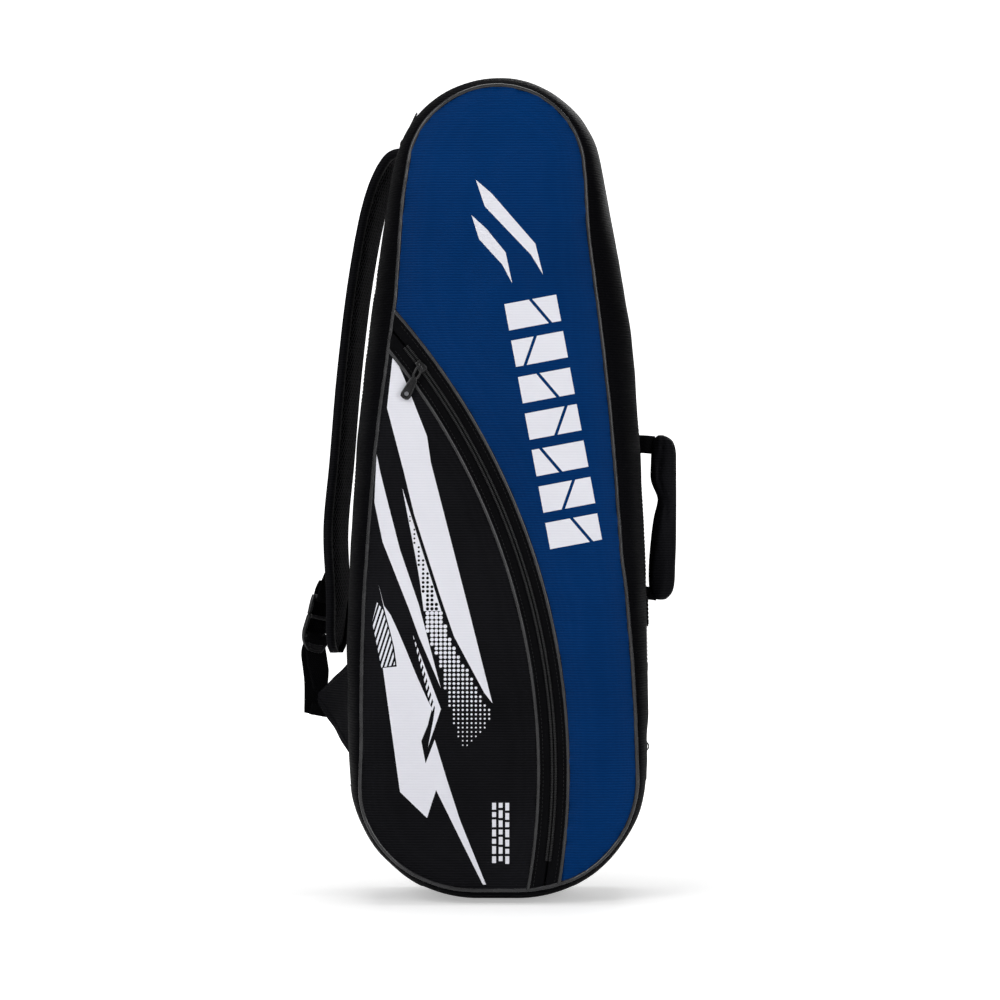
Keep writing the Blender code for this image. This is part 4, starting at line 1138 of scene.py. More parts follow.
def make_main_zip():
    """Tapes, teeth and edge stitching of the main zip."""
    ends = (MAIN_ZIP_LOW_ANGLE, MAIN_ZIP_TOP_ANGLE + 360)
    tape_over, middle_gap, tooth_pitch = 0.0006, 0.0005, 0.0016
    parts = (
        ("front", LID_EDGE_Y - tape_over, ZIP_Y - middle_gap, LID_EDGE_Y - 0.0022, -1, "lid"),
        ("rear", ZIP_Y + middle_gap, TRAY_EDGE_Y + tape_over, TRAY_EDGE_Y + 0.0022, 1, "tray"),
    )
    for label, low_y, high_y, seam_y, side, body in parts:
        rows = []
        for y in spread(low_y, high_y, 5):
            edge = abs(y - ZIP_Y) / (TRAY_EDGE_Y - ZIP_Y)
            rows.append(seam_line(y, 0.0021 - 0.0012 * edge**2, *ends))
        mesh = skin_mesh("tape", rows, from_middle, 0.0008)
        tape = finished(f"main_zip_tape_{label}_cloth", mesh, "zip_tape", body)
        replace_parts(tape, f"main_zip_tape_{label}")
        places = []
        for p in resampled(seam_line(0, 0.0016, *ends), tooth_pitch):
            _, near = outline.gap(p.x, p.z)
            out = (near - p).normalized()
            places.append((Vector((p.x, ZIP_Y + side * ROW_OFF, p.z)), Vector((0, side, 0)), out))
        teeth = finished(f"main_zip_teeth_{label}", teeth_mesh("teeth", places), "coil", body)
        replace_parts(teeth, f"main_zip_coil_{label}")
        seam = stitch_mesh("seam", seam_line(seam_y, -0.0001), outward)
        finished(f"main_zip_stitches_{label}", seam, "thread", body)


def make_hinge():
    """The cloth hinge on the left stretch, between the main zip's two ends."""
    inside = 0.0004
    rows = []
    for share in spread(0, 1, 9):
        y = TRAY_EDGE_Y + inside + (LID_EDGE_Y - TRAY_EDGE_Y - 2 * inside) * share
        row = []
        for angle in outline.angles(MAIN_ZIP_TOP_ANGLE, MAIN_ZIP_LOW_ANGLE):
            point = outline.point(angle, y, 0.0003)
            fold = 0.0007 * math.sin(math.pi * share) * ripples(point.x * 30, 1.0, point.z * 24)
            row.append(point + outline.normal(angle) * fold)
        rows.append(row)
    mesh = skin_mesh("hinge", rows, from_middle, 0.0009)
    web = finished("hinge_cloth", mesh, "black_fabric", None)
    z = 0.35
    x = -outline.side_x(z)
    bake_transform(web)
    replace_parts(web, "hinge_web")


def make_end_tabs():
    """Folded cloth patches over the main zip's ends, with a row of stitches round each."""
    stitch_in = 0.0022
    for name in ("zip_end_tab_upper", "zip_end_tab_lower"):
        low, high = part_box(name)
        start, stop = 180 - outline.angle_at(high.z), 180 - outline.angle_at(low.z)
        rows = []
        for share in spread(0, 1, 8):
            rise = 0.0008 + 0.0008 * min(min(share, 1 - share) * 6, 1)
            rows.append(seam_line(low.y + (high.y - low.y) * share, -rise, start, stop, 0.002))
        mesh = skin_mesh(name, rows, from_middle, 0.0011, bevel=0.0003)
        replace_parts(finished(f"{name}_cloth", mesh, "black_fabric", "tray"), name)
        front = seam_line(low.y + stitch_in, -0.0017, start, stop, 0.002)
        back = seam_line(high.y - stitch_in, -0.0017, start, stop, 0.002)
        seam = stitch_mesh("seam", front + back[::-1], outward)
        finished(f"{name}_stitches", seam, "thread", "tray")


# ---------------------------------------------------------------- the back
def back_y(x, z):
    edge, near = outline.gap(x, z)
    seam = max(edge - BACK_INSET - 2 * PIPING_R, 0.0)
    lift = BACK_RISE * (1 - math.exp(-seam / RISE_OVER))
    billow = 0.0010 * ripples(x * 8, 4.4, z * 5) * (1 - math.exp(-seam / 0.02))
    return BACK_Y + 0.0012 + lift + billow + puckered(near, seam, 3.1)


def make_back():
    inset = BACK_INSET + PIPING_R
    rows = panel_rows(
        inset,
        HEIGHT - inset,
        lambda z: -outline.half_width(z, inset),
        lambda z: outline.half_width(z, inset),
        back_y,
        220,
        60,
    )
    mesh = thickened(faced(welded(rows_mesh("back_panel_cloth", rows)), backwards), CLOTH_T)
    cloth = finished("back_panel_cloth", mesh, "black_fabric", "tray")
    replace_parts(cloth, "back_panel")

    low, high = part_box("strap_anchor_patch")

    def on_back(x, z, lift):
        return Vector((x, max(back_y(x, z), BACK_OUT_Y - 0.001) + lift, z))

    rows = [[on_back(x, z, 0.0014) for x in spread(low.x, high.x, 60)] for z in spread(low.z, high.z, 20)]
    mesh = flap_mesh("patch", rows, 0.0014, 0.0004)
    patch = finished("strap_anchor_webbing", mesh, "webbing", "tray")
    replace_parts(patch, "strap_anchor_patch")
    inner = 0.0035
    x0, x1, z0, z1 = low.x + inner, high.x - inner, low.z + inner, high.z - inner
    line = polyline([(x0, z0), (x1, z0), (x1, z1), (x0, z1), (x0, z0)], 20)
    seam = stitch_mesh("seam", [on_back(x, z, 0.0022) for x, z in line], backwards)
    finished("strap_anchor_stitches", seam, "thread", "tray")


# ---------------------------------------------------------------- sliders and pulls
def pull_plate(name, loop, hole, low, high, matrix, bevel=0.0004):
    """A flat pull with rounded edges: its outline and hole in the XY plane of a matrix, from low to high."""
    curve = bpy.data.curves.new(name, "CURVE")
    curve.dimensions = "2D"
    curve.fill_mode = "BOTH"
    curve.extrude = (high - low) / 2 - bevel
    curve.bevel_depth = bevel
    curve.bevel_resolution = 3
    curve.offset = -bevel
    for points in (loop, hole):
        if not points:
            continue
        spline = curve.splines.new("POLY")
        spline.points.add(len(points) - 1)
        for point, (x, y) in zip(spline.points, points):
            point.co = (x, y, 0, 1)
        spline.use_cyclic_u = True
    obj = bpy.data.objects.new(name, curve)
    bpy.context.scene.collection.objects.link(obj)
    mesh = applied(obj)
    mesh.transform(matrix @ Matrix.Translation((0, 0, (low + high) / 2)))
    return fix_normals(welded(mesh, 1e-6))


def bar_loop(low, high, half, steps=12):
    points = []
    for end, centre in ((0, high - half), (1, low + half)):
        for k in range(steps + 1):
            turn = -math.pi / 2 + math.pi * (end + k / steps)
            points.append((centre + half * math.cos(turn), half * math.sin(turn)))
    return points


def mirrored(points):
    """A closed outline from its half below the X axis."""
    return points + [(x, -y) for x, y in reversed(points)]


def slider_mesh(matrix, half_l=0.0055, half_w=0.0042):
    """A zip slider: a waisted plate with lips, an arched bridge over it, a neck and a plain keeper."""
    top, plate = 0.0013, 0.0017
    waist = ((-1, 0.62), (-0.2, 0.86), (0.55, 1.0), (1, 0.8))
    face = mirrored([(half_l * along, -half_w * wide) for along, wide in waist])
    pieces = [pull_plate("plate", face, None, top, top + plate, matrix, 0.0005)]
    keeper = -0.0031
    pieces.append(pull_plate("keeper", face, None, keeper, keeper + 0.0012, matrix, 0.0003))
    foot = top + plate - 0.0003
    turns = spread(0, math.pi, 12)
    arch = [Vector((half_l * 0.62 * math.cos(t), 0, foot + 0.0016 * math.sin(t))) for t in turns]
    bridge = tube_mesh("bridge", arch, 0.0007, 8)
    bridge.transform(Matrix.Scale(1.6, 4, (0, 1, 0)))
    bridge.transform(matrix)
    pieces.append(bridge)
    neck = bar_loop(-half_l * 0.55, half_l * 0.2, 0.00035, 4)
    pieces.append(pull_plate("neck", neck, None, keeper + 0.0008, top + 0.0006, matrix, 0.0001))
    return joined_mesh("slider", pieces)


def pocket_pull_frame(angle):
    """Local X down a line at an angle from the pocket slider, Z out of the bag's front."""
    turn = math.radians(angle)
    x, z = polar(ZIP_R, SLIDER_CLOSED)
    c, s = math.cos(turn), math.sin(turn)
    return Matrix(((c, -s, 0, x), (0, 0, -1, PANEL_Y), (s, c, 0, z), (0, 0, 0, 1)))


def make_pocket_slider():
    """The pocket's slider, its link and its pull tab, which hang down to the left."""
    mesh = slider_mesh(pocket_pull_frame(SLIDER_CLOSED - 90))
    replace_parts(finished("pocket_slider_body", mesh, "slider", "pocket_slider"), "pocket_slider")
    pull = pocket_pull_frame(-117.5)
    low, thick = 0.0035, 0.0014
    hole = bar_loop(0.0021, 0.0109, 0.0015)
    link = pull_plate("link", bar_loop(0.0, 0.013, 0.0036), hole, low, low + thick, pull, 0.00055)
    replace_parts(finished("pocket_link_ring", link, "slider", "pocket_link"), "pocket_pull_link")
    start, length, half = 0.0119, 0.0214, 0.0050
    low, high = 0.0030, 0.0054
    stations = ((0, 0.55), (0.002, 0.72), (length * 0.82, 1.0), (length * 0.95, 0.8), (length, 0.35))
    face = mirrored([(start + along, -half * wide) for along, wide in stations])
    eye = start + length - 0.0052
    tab = pull_plate("tab", face, ring_loop(eye, 0, 0.0019), low, high, pull, 0.0007)
    eye_rim = [pull @ Vector((x, y, high)) for x, y in ring_loop(eye, 0, 0.0023)]
    rim = tube_mesh("rim", eye_rim, 0.0003, 6, True)
    grip = finished("pocket_pull_grip", joined_mesh("tab", [tab, rim]), "slider", "pocket_tab")
    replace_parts(grip, "pocket_pull_tab")


def main_slider_frame(angle):
    """Frame of a main slider: X along the zip, Z out of the side."""
    x, z = outline.at(angle, 0.0012)
    turn = math.radians(angle)
    out = Vector((math.cos(turn), 0, math.sin(turn)))
    along = Vector((math.sin(turn), 0, -math.cos(turn)))
    made = Matrix((along, out.cross(along), out)).transposed().to_4x4()
    made.translation = (x, ZIP_Y, z)
    return made


def make_main_sliders():
    """The main zip's two sliders, each with a ribbed pull that lies along the zip."""
    side = outline.height_angle(0.1375)
    top = MAIN_ZIP_TOP_ANGLE - math.degrees(0.0075 / TOP_R)
    start, low, high, rib_half = 0.0058, 0.0015, 0.0030, 0.0024
    for name, angle in (("side", side), ("top", top)):
        matrix = main_slider_frame(angle)
        mesh = slider_mesh(matrix @ Matrix.Scale(0.94, 4))
        slider = finished(f"{name}_slider_body", mesh, "slider", f"{name}_slider")
        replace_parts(slider, f"{name}_slider")
        face, hole = bar_loop(start, start + 0.026, 0.00375), ring_loop(start + 0.019, 0, 0.0015)
        pieces = [pull_plate("grip", face, hole, low, high, matrix, 0.0005)]
        for k in range(4):
            x = start + 0.006 + 0.002 * k
            rib = [matrix @ Vector((x, y, high)) for y in (-rib_half, 0, rib_half)]
            pieces.append(tube_mesh("rib", rib, 0.00035, 6))
        mesh = joined_mesh("grip", pieces)
        grip = finished(f"{name}_slider_pull_grip", mesh, "slider", f"{name}_pull")
        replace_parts(grip, f"{name}_slider_pull")


# ---------------------------------------------------------------- cloth simulation
def puffed(mesh, voxel=0.004, pressure=4.0, cap=0.004, repeat=4, seed_frames=20):
    """A padded shape blown up a little by a pressure simulation; no point moves more than the cap."""
    obj = bpy.data.objects.new("puffed", mesh)
    bpy.context.scene.collection.objects.link(obj)
    remesh = obj.modifiers.new("remesh", "REMESH")
    remesh.mode = "VOXEL"
    remesh.voxel_size = voxel
    mesh = applied(obj)
    rest = [v.co.copy() for v in mesh.vertices]
    obj = bpy.data.objects.new("puffed", mesh)
    bpy.context.scene.collection.objects.link(obj)
    cloth = obj.modifiers.new("cloth", "CLOTH")
    cloth.settings.use_pressure = True
    cloth.settings.uniform_pressure_force = pressure
    cloth.settings.effector_weights.gravity = 0
    cloth.settings.quality = 5
    cloth.settings.bending_stiffness = 2.0
    cloth.point_cache.frame_start = 1
    cloth.point_cache.frame_end = seed_frames
    scene = bpy.context.scene
    for number in range(1, seed_frames + 1):
        scene.frame_set(number)
    mesh = applied(obj)
    scene.frame_set(1)
    for v, p in zip(mesh.vertices, rest):
        move = v.co - p
        if move.length > cap:
            v.co = p + move * (cap / move.length)
    return smoothed(mesh, repeat)


def smoothed(mesh, repeat=4, levels=1):
    obj = bpy.data.objects.new("smooth", mesh)
    bpy.context.scene.collection.objects.link(obj)
    soften = obj.modifiers.new("soften", "SMOOTH")
    soften.factor = 0.5
    soften.iterations = repeat
    finer = obj.modifiers.new("finer", "SUBSURF")
    finer.levels = levels
    finer.render_levels = levels
    return applied(obj)


# ---------------------------------------------------------------- straps
STRAP_ANCHOR_X = 0.045
STRAP_ANCHOR_DOWN = 0.100
STRAP_STANDOFF = 0.0085
WING_TIP_Z = 0.178
WING_TIPS = {-1: (0.0329, 0.025), 1: (-0.0011, 0.037)}
STRAP_W = 0.060
STRAP_T = 0.011
WEB_W = 0.025
WEB_T = 0.0015
TAIL_L = 0.075
LOCK_BAR = 0.004
LOCK_LOW = 0.055
LOCK_HIGH = 0.094
LOCK_OUT = 0.0215
BAR_WRAP = LOCK_BAR * 0.72 + GAP + WEB_T / 2
# share of the turning line below the anchor, distance from the line, half width as a share of the strap's
STRAP_BOW = (
    (-0.026, 0.017, 0.20),
    (-0.052, 0.035, 0.30),
    (-0.060, 0.058, 0.40),
    (-0.036, 0.0755, 0.47),
    (0.050, 0.083, 0.50),
    (0.200, 0.077, 0.50),
    (0.380, 0.062, 0.50),
    (0.550, 0.044, 0.50),
    (0.680, 0.0305, 0.50),
    (0.800, 0.0085, 0.48),
    (0.905, -0.006, 0.42),
)
LOCK_TWIST = {-1: -38.0, 1: 0.0}


def wing_tip(side):
    out, back = WING_TIPS[side]
    return Vector((side * (outline.side_x(WING_TIP_Z) + out), BACK_Y + back, WING_TIP_Z))


def strap_frame(side, azimuth):
    """Local Z up the turning line from the wing, X towards the strap's bow."""
    top = Vector((side * STRAP_ANCHOR_X, BACK_OUT_Y + STRAP_STANDOFF, HEIGHT - STRAP_ANCHOR_DOWN))
    low = wing_tip(side) + Vector((0, 0.002, 0))
    up = (top - low).normalized()
    turn = math.radians(azimuth)
    bow = Vector((math.cos(turn), math.sin(turn), 0))
    bow = (bow - up * bow.dot(up)).normalized()
    made = Matrix((bow, up.cross(bow), up)).transposed().to_4x4()
    made.translation = low
    return made, (top - low).length


def each_across(path, across):
    """One direction across the path for each of its points."""
    return across if isinstance(across, list) else [across] * len(path)


def path_normals(path, across):
    out = []
    for i, wide in enumerate(each_across(path, across)):
        ahead = path[min(i + 1, len(path) - 1)] - path[max(i - 1, 0)]
        out.append(ahead.cross(wide).normalized())
    return out


def turned(across, degrees):
    return Matrix.Rotation(math.radians(degrees), 3, "Z") @ across


def twisting(path, across, degrees, start, stop):
    """Directions across a path that turn about its length between two heights."""
    out = []
    for p in path:
        share = min(max((p.z - start) / (stop - start), 0.0), 1.0)
        out.append(turned(across, degrees * share * share * (3 - 2 * share)))
    return out


def strip_mesh(path, across, halves, thickness, columns=12, ribs=0.00022, wave=0.0):
    """Woven strap along a path: ribs across it, softly rounded edges, and an even thickness."""
    rings = []
    for point, half, normal, wide in zip(path, halves, path_normals(path, across), each_across(path, across)):
        ring = []
        for side in (1, -1):
            for k in range(columns + 1):
                u = side * (2 * k / columns - 1)
                edge = 1 - abs(u) ** 6
                rib = ribs * math.cos(math.pi * 6 * u)
                sag = wave * noise.noise(point * 40 + Vector((u, 0, 0)))
                high = side * (thickness / 2 * (0.35 + 0.65 * edge) + rib * edge)
                ring.append(point + wide * (half * u) + normal * (high + sag))
        rings.append(ring)
    return capped(rows_mesh("strip", rings, closed=True))


def end_taper(i, count):
    """Quarter-round narrowing of the cushion towards its ends."""
    end = min(min(i, count - 1 - i) / 5, 1)
    return math.sqrt(max(1 - (1 - end) ** 2, 0.01))


def pad_mesh(path, across, halves):
    """The strap's cushion: rounded in section and at both ends."""
    normals = path_normals(path, across)
    rings = []
    for i, (point, half, normal) in enumerate(zip(path, halves, normals)):
        taper = end_taper(i, len(path))
        ring = []
        for k in range(36):
            turn = 2 * math.pi * k / 36
            c, s = math.cos(turn), math.sin(turn)
            u = math.copysign(abs(c) ** 0.55, c) * (half - 0.001) * (0.35 + 0.65 * taper)
            v = math.copysign(abs(s) ** 0.8, s) * (STRAP_T / 2 - 0.0006) * (0.3 + 0.7 * taper)
            ring.append(point + across * u + normal * v)
        rings.append(ring)
    return capped(rows_mesh("pad", rings, closed=True))


def binding_mesh(path, across, halves, side):
    """Edge tape folded over one long edge of the pad."""
    normals = path_normals(path, across)
    rings = []
    for i, (point, half, normal) in enumerate(zip(path, halves, normals)):
        half *= 0.35 + 0.65 * end_taper(i, len(path))
        ring = []
        for k in range(11):
            turn = -math.pi / 2 + math.pi * k / 10
            u = half - 0.0056 + 0.0064 * abs(math.cos(turn)) ** 0.6 + 0.0002 * noise.noise(point * 160)
            v = (STRAP_T / 2 - 0.0016) * math.sin(turn)
            ring.append(point + across * (side * u) + normal * v)
        rings.append(ring)
    return flap_mesh("binding", rings, 0.0009)


def make_strap(label, side, azimuth, twist):
    body = f"strap_{label}"
    matrix, length = strap_frame(side, azimuth)
    turn = math.radians(twist)
    across = Vector((math.cos(turn), math.sin(turn), 0))
    control = [Vector((out, share * STRAP_W, (1 - down) * length)) for down, out, share in STRAP_BOW]
    smooth = smooth_path(control, 10)
    path = [Vector((p.x, 0, p.z)) for p in smooth]
    halves = [p.y for p in smooth]
    if side > 0:
        for i, p in enumerate(path):
            low_share = min(max((1 - p.z / length - 0.5) / 0.35, 0.0), 1.0)
            path[i] = Vector((max(p.x, 0.0005), p.y, p.z)) - across * (0.0165 * low_share**2)
            halves[i] -= 0.0095 * low_share
    mesh = pad_mesh(path, across, halves)
    pad = puffed(mesh, 0.004, 4.0, 0.0022)
    pad.transform(matrix)
    pad_obj = finished(f"strap_pad_{label}_cushion", pad, "spacer_mesh", body)
    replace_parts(pad_obj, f"strap_pad_{label}")
    for edge, name in ((1, "rear"), (-1, "front")):
        binding = binding_mesh(path, across, halves, edge)
        binding.transform(matrix)
        finished(f"strap_{label}_{name}_binding", binding, "black_fabric", body)
        normals = path_normals(path, across)
        inner = slice(3, -3)
        for face, way in ((1, "out"), (-1, "in")):
            line = []
            for p, half, normal in zip(path[inner], halves[inner], normals[inner]):
                line.append(p + across * (edge * (half - 0.0046)) + normal * face * (STRAP_T / 2 + 0.0004))
            seam = stitch_mesh("seam", line, lambda p, f=face, n=normals[20]: n * f)
            seam.transform(matrix)
            finished(f"strap_{label}_{name}_stitches_{way}", seam, "thread", body)

    away = (path[0] - path[1]).normalized()
    over = [Vector((0, 0, length)), Vector((0.006, 0, length + 0.006))]
    top_path = smooth_path([*over, path[0] + away * 0.0003, path[0] - away * 0.006], 6)
    top_halves = [0.004 + (WEB_W / 2 - 0.004) * min(i / 12, 1) for i in range(len(top_path))]
    web_piece(f"strap_top_webbing_{label}", top_path, across, top_halves, matrix, body)

    twist_more = LOCK_TWIST[side]
    lock_across = turned(across, twist_more)
    front = lock_across.cross(Vector((0, 0, 1))) if twist_more else Vector((1, 0, 0))
    # The lock's plastic colour is partly real black, partly painted light lifted for the straps' shade.
    lock = finished(f"ladder_lock_{label}_body", lock_mesh(lock_across, matrix), "buckle", body)
    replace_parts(lock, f"ladder_lock_{label}")

    high, low = Vector((LOCK_OUT, 0, LOCK_HIGH)), Vector((LOCK_OUT, 0, LOCK_LOW))
    proud = STRAP_T / 2 + WEB_T
    sewn = []
    for down in (0.64, 0.68, 0.72, 0.75):
        z = (1 - down) * length
        out = next((a.x for a, b in zip(path[15:], path[16:]) if a.z >= z >= b.z), 0.0)
        sewn.append(Vector((out + proud, 0, z)))
    up = Vector((0, 0, 1))
    turns = [math.pi * k / 8 for k in range(9)]
    round_high = [high + front * (BAR_WRAP * math.cos(t)) - up * (BAR_WRAP * math.sin(t)) for t in turns]
    back = [high - front * BAR_WRAP + up * LOCK_BAR, high - front * (BAR_WRAP + 0.001) + up * 0.016]
    route = smooth_path(sewn + round_high[::2] + back, 5)
    wide = twisting(route, across, twist_more, sewn[-1].z, LOCK_HIGH + BAR_WRAP)
    web_piece(f"lock_webbing_{label}", route, wide, [WEB_W / 2] * len(route), matrix, body)
    round_low = [low - front * (BAR_WRAP * math.cos(t)) + up * (BAR_WRAP * math.sin(t)) for t in turns]
    rise = [Vector((0.0, 0, 0.006)), Vector((LOCK_OUT * 0.45, 0, LOCK_LOW * 0.5))]
    route = smooth_path(rise + round_low[::2], 5)
    halves_low = [0.0075 + (WEB_W / 2 - 0.0075) * min(i / 5, 1) for i in range(len(route))]
    web_piece(f"adjuster_webbing_{label}", route, lock_across, halves_low, matrix, body)
    through = [high - front * 0.0030 - up * 0.0025, (high + low) / 2 - front * 0.0034]
    through.append(low - front * 0.0030 + up * 0.0025)
    route = smooth_path(through, 6)
    filling = strip_mesh(route, lock_across, [WEB_W / 2 - 0.0004] * len(route), WEB_T)
    filling.transform(matrix)
    finished(f"lock_webbing_{label}_inner", filling, "webbing", body)
    end = low + front * BAR_WRAP
    down = matrix.to_3x3().inverted() @ Vector((0, 0, -TAIL_L))
    hang = [end, end + front * 0.001 - up * (TAIL_L * 0.2), end + down * 0.6, end + down]
    route = [p - front * (0.006 * min(i / 12, 1)) for i, p in enumerate(smooth_path(hang, 10))]
    halves_tail = [WEB_W / 2] * len(route)
    web_piece(f"webbing_tail_{label}", route, lock_across, halves_tail, matrix, f"tail_{label}", "strap")
    fold = [hang[-1] + Vector((-0.0012, 0, 0.012)), hang[-1] + Vector((-0.0012, 0, 0.0003))]
    fold_mesh = strip_mesh(smooth_path(fold, 6), lock_across, [WEB_W / 2 - 0.0006] * 7, WEB_T * 0.8)
    fold_mesh.transform(matrix)
    finished(f"webbing_tail_{label}_hem", fold_mesh, "webbing", f"tail_{label}")


def web_piece(node_name, route, across, halves, matrix, body, ending="web"):
    """A length of webbing that stands for one of the CAD's nodes."""
    mesh = strip_mesh(route, across, halves, WEB_T, wave=0.0002)
    mesh.transform(matrix)
    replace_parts(finished(f"{node_name}_{ending}", mesh, "webbing", body), node_name)


def lock_mesh(across, matrix):
    """A moulded ladder lock: two swept rails, three rounded bars and a curved thumb tab with grip ribs."""
    normal = across.cross(Vector((0, 0, 1)))
    own = Matrix((across, Vector((0, 0, 1)), normal)).transposed().to_4x4()
    own.translation = (LOCK_OUT, 0, 0)
    half = WEB_W / 2 + 0.001
    low, high = LOCK_LOW - LOCK_BAR / 2, LOCK_HIGH + LOCK_BAR / 2
    middle = (LOCK_LOW + LOCK_HIGH) / 2
    pieces = []
    for side in (-1, 1):
        rail = [
            Vector((side * (half + 0.0012), high - 0.001, 0)),
            Vector((side * (half + 0.0022), high - 0.008, 0.0010)),
            Vector((side * (half + 0.0022), middle, 0.0016)),
            Vector((side * (half + 0.0020), low + 0.008, 0.0006)),
            Vector((side * (half + 0.0006), low + 0.001, 0)),
        ]
        pieces.append(tube_mesh("rail", smooth_path(rail, 6), 0.0021, 12))
    for z, radius, lift in ((LOCK_HIGH, 0.0021, 0.0), (middle, 0.0019, 0.0012), (LOCK_LOW, 0.0020, 0.0)):
        bar = [Vector((half * k / 4, z, lift * (1 - (k / 4) ** 2))) for k in range(-4, 5)]
        pieces.append(tube_mesh("bar", bar, radius, 12))
    rows = []
    for i in range(13):
        t = i / 12
        z = low + 0.002 - t * 0.0135
        wide = (half + 0.0026) * (1 - 0.48 * t**1.6)
        bend = 0.0002 + 0.0034 * t**2
        rows.append([Vector((wide * u, z - 0.0015 * (1 - u * u), bend)) for u in spread(-1, 1, 12)])
    pieces.append(flap_mesh("tab", rows, 0.0030, 0.0008))
    for k in range(4):
        z = low - 0.0015 - k * 0.0024
        wide = half * (0.72 - 0.09 * k)
        lift = 0.0018 + 0.0034 * ((k + 1) / 5) ** 2
        rib = [Vector((wide * u, z - 0.001 * (1 - u * u), lift)) for u in spread(-1, 1, 8)]
        pieces.append(tube_mesh("rib", rib, 0.0005, 6))
    mesh = joined_mesh("lock", pieces)
    mesh.transform(matrix @ own)
    return mesh


def make_wing(label, side):
    """A triangle of doubled cloth from the side to the adjuster webbing, with hemmed and stitched edges."""
    node_name = f"wing_{label}"
    low, high = 0.128, 0.2145
    root_y = BACK_Y - BACK_ROUND - 0.004
    tip = wing_tip(side)
    columns, steps, seam_column = 40, 44, 3
    rows = []
    for t in spread(0, 1, steps):
        row = []
        for k in range(columns + 1):
            u = k / columns
            x, z = outline.at(outline.height_angle(low + (high - low) * u), -0.0013)
            root = Vector((side * x, root_y, z))
            at = root.lerp(tip + Vector((0, 0, 0.005 * (2 * u - 1))), t)
            swell = 0.0012 * math.sin(math.pi * t) * math.sin(math.pi * u)
            swell += 0.0016 * ripples(t * 3, u * 2.2, side * 4.0)
            hem = 0.0006 if min(u, 1 - u) * (1 - t * 0.88) > 0.085 else 0.0
            across = (tip - root).cross(Vector((0, 0, 1))).normalized()
            row.append(at + across * (swell * math.sin(math.pi * min(t * 1.02, 1)) - hem * side))
        rows.append(row)
    mesh = flap_mesh(node_name, rows, 0.0021, 0.0005)
    wing = finished(f"{node_name}_cloth", mesh, "black_fabric", "tray")
    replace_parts(wing, node_name)
    normal = (rows[20][20] - rows[10][20]).cross(Vector((0, 0, 1))).normalized()
    for k, name in ((seam_column, "lower"), (columns - seam_column, "upper")):
        for face, way in ((1, "out"), (-1, "in")):
            line = [row[k] + normal * face * 0.0011 for row in rows[3:-2]]
            seam = stitch_mesh("seam", line, lambda p, f=face: normal * f)
            finished(f"{node_name}_{name}_stitches_{way}", seam, "thread", "tray")


# ---------------------------------------------------------------- handle
# Height, inner edge and outer edge of the folded sleeve
SLEEVE = (
    (0.2745, 0.1470, 0.1610),
    (0.2860, 0.1428, 0.1665),
    (0.3084, 0.1425, 0.1680),
    (0.3358, 0.1449, 0.1687),
    (0.3538, 0.1476, 0.1690),
    (0.3640, 0.1503, 0.1690),
    (0.3723, 0.1508, 0.1690),
    (0.3870, 0.1450, 0.1690),
    (0.4010, 0.1446, 0.1690),
    (0.4160, 0.1452, 0.1685),
    (0.4260, 0.1475, 0.1650),
    (0.4305, 0.1490, 0.1590),
)
SLEEVE_HALF_Y = 0.0122


# Where a fold starts round the sleeve, how much it leans with height, its depth and its width
SLEEVE_FOLDS = (
    (4.05, 2.6, 0.20, 0.16),
    (4.75, -3.4, 0.17, 0.13),
    (5.45, 1.8, 0.15, 0.15),
    (2.20, 2.0, 0.15, 0.20),
)


def make_handle():
    """Webbing ends sewn to the side, with a folded sleeve between them that covers most of the loop."""
    low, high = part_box("handle_webbing")
    y = (low.y + high.y) / 2
    bottom, top = SLEEVE[0][0], SLEEVE[-1][0]
    pieces = []
    for z, half, reach in ((bottom + 0.0065, 0.0062, 0.0115), (top - 0.0085, 0.0086, 0.0185)):
        root = outline.side_x(z) - 0.001
        path = []
        for k in range(9):
            path.append(Vector((root + reach * k / 8, y + 0.0012 * math.sin(k), z - 0.0012 * (k / 8) ** 2)))
        pieces.append(strip_mesh(smooth_path(path, 3), Vector((0, 0, 1)), [half] * 25, 0.0038, wave=0.0004))
    web = finished("handle_webbing_ends", joined_mesh("ends", pieces), "webbing", None)
    axis_x = outline.side_x(low.z)
    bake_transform(web)
    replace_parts(web, "handle_webbing")
    mesh = puffed(sleeve_mesh(y, bottom, top), 0.0018, 3.0, 0.0010, repeat=2)
    wrap = finished("handle_wrap_sleeve", mesh, "black_fabric", "handle")
    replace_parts(wrap, "handle_wrap")
    for name in ("lower", "upper"):
        make_handle_anchor(f"handle_anchor_{name}")


def sleeve_mesh(y, bottom, top):
    """The sleeve: padded rings along the loop, creased lengthwise, and narrowed at both ends."""
    middle = (bottom + top) / 2
    rings = []
    for inner, outer, z in smooth_path([Vector((inner, outer, z)) for z, inner, outer in SLEEVE], 6):
        end = min(min(z - bottom, top - z) / 0.007, 1)
        taper = math.sqrt(max(1 - (1 - end) ** 2, 0.06))
        centre, half = (inner + outer) / 2, (outer - inner) / 2
        ring = []
        for k in range(64):
            turn = 2 * math.pi * k / 64
            c, s = math.cos(turn), math.sin(turn)
            fold = 1 + 0.10 * ripples(c * 1.7, s * 1.7, z * 16) + 0.05 * ripples(c * 3.6, s * 3.6, z * 40)
            for start, lean, deep, wide in SLEEVE_FOLDS:
                fold -= deep * math.exp(-(((turn - start - lean * (z - middle) * 3) / wide) ** 2))
            flat_c, flat_s = math.copysign(abs(c) ** 0.85, c), math.copysign(abs(s) ** 0.85, s)
            out = half * (0.5 + 0.5 * taper) * flat_c * (1 + (fold - 1) * 0.55)
            back = SLEEVE_HALF_Y * (0.35 + 0.65 * taper) * fold * flat_s
            ring.append(Vector((centre + out, y + back, z)))
        rings.append(ring)
    return capped(rows_mesh("sleeve", rings, closed=True))


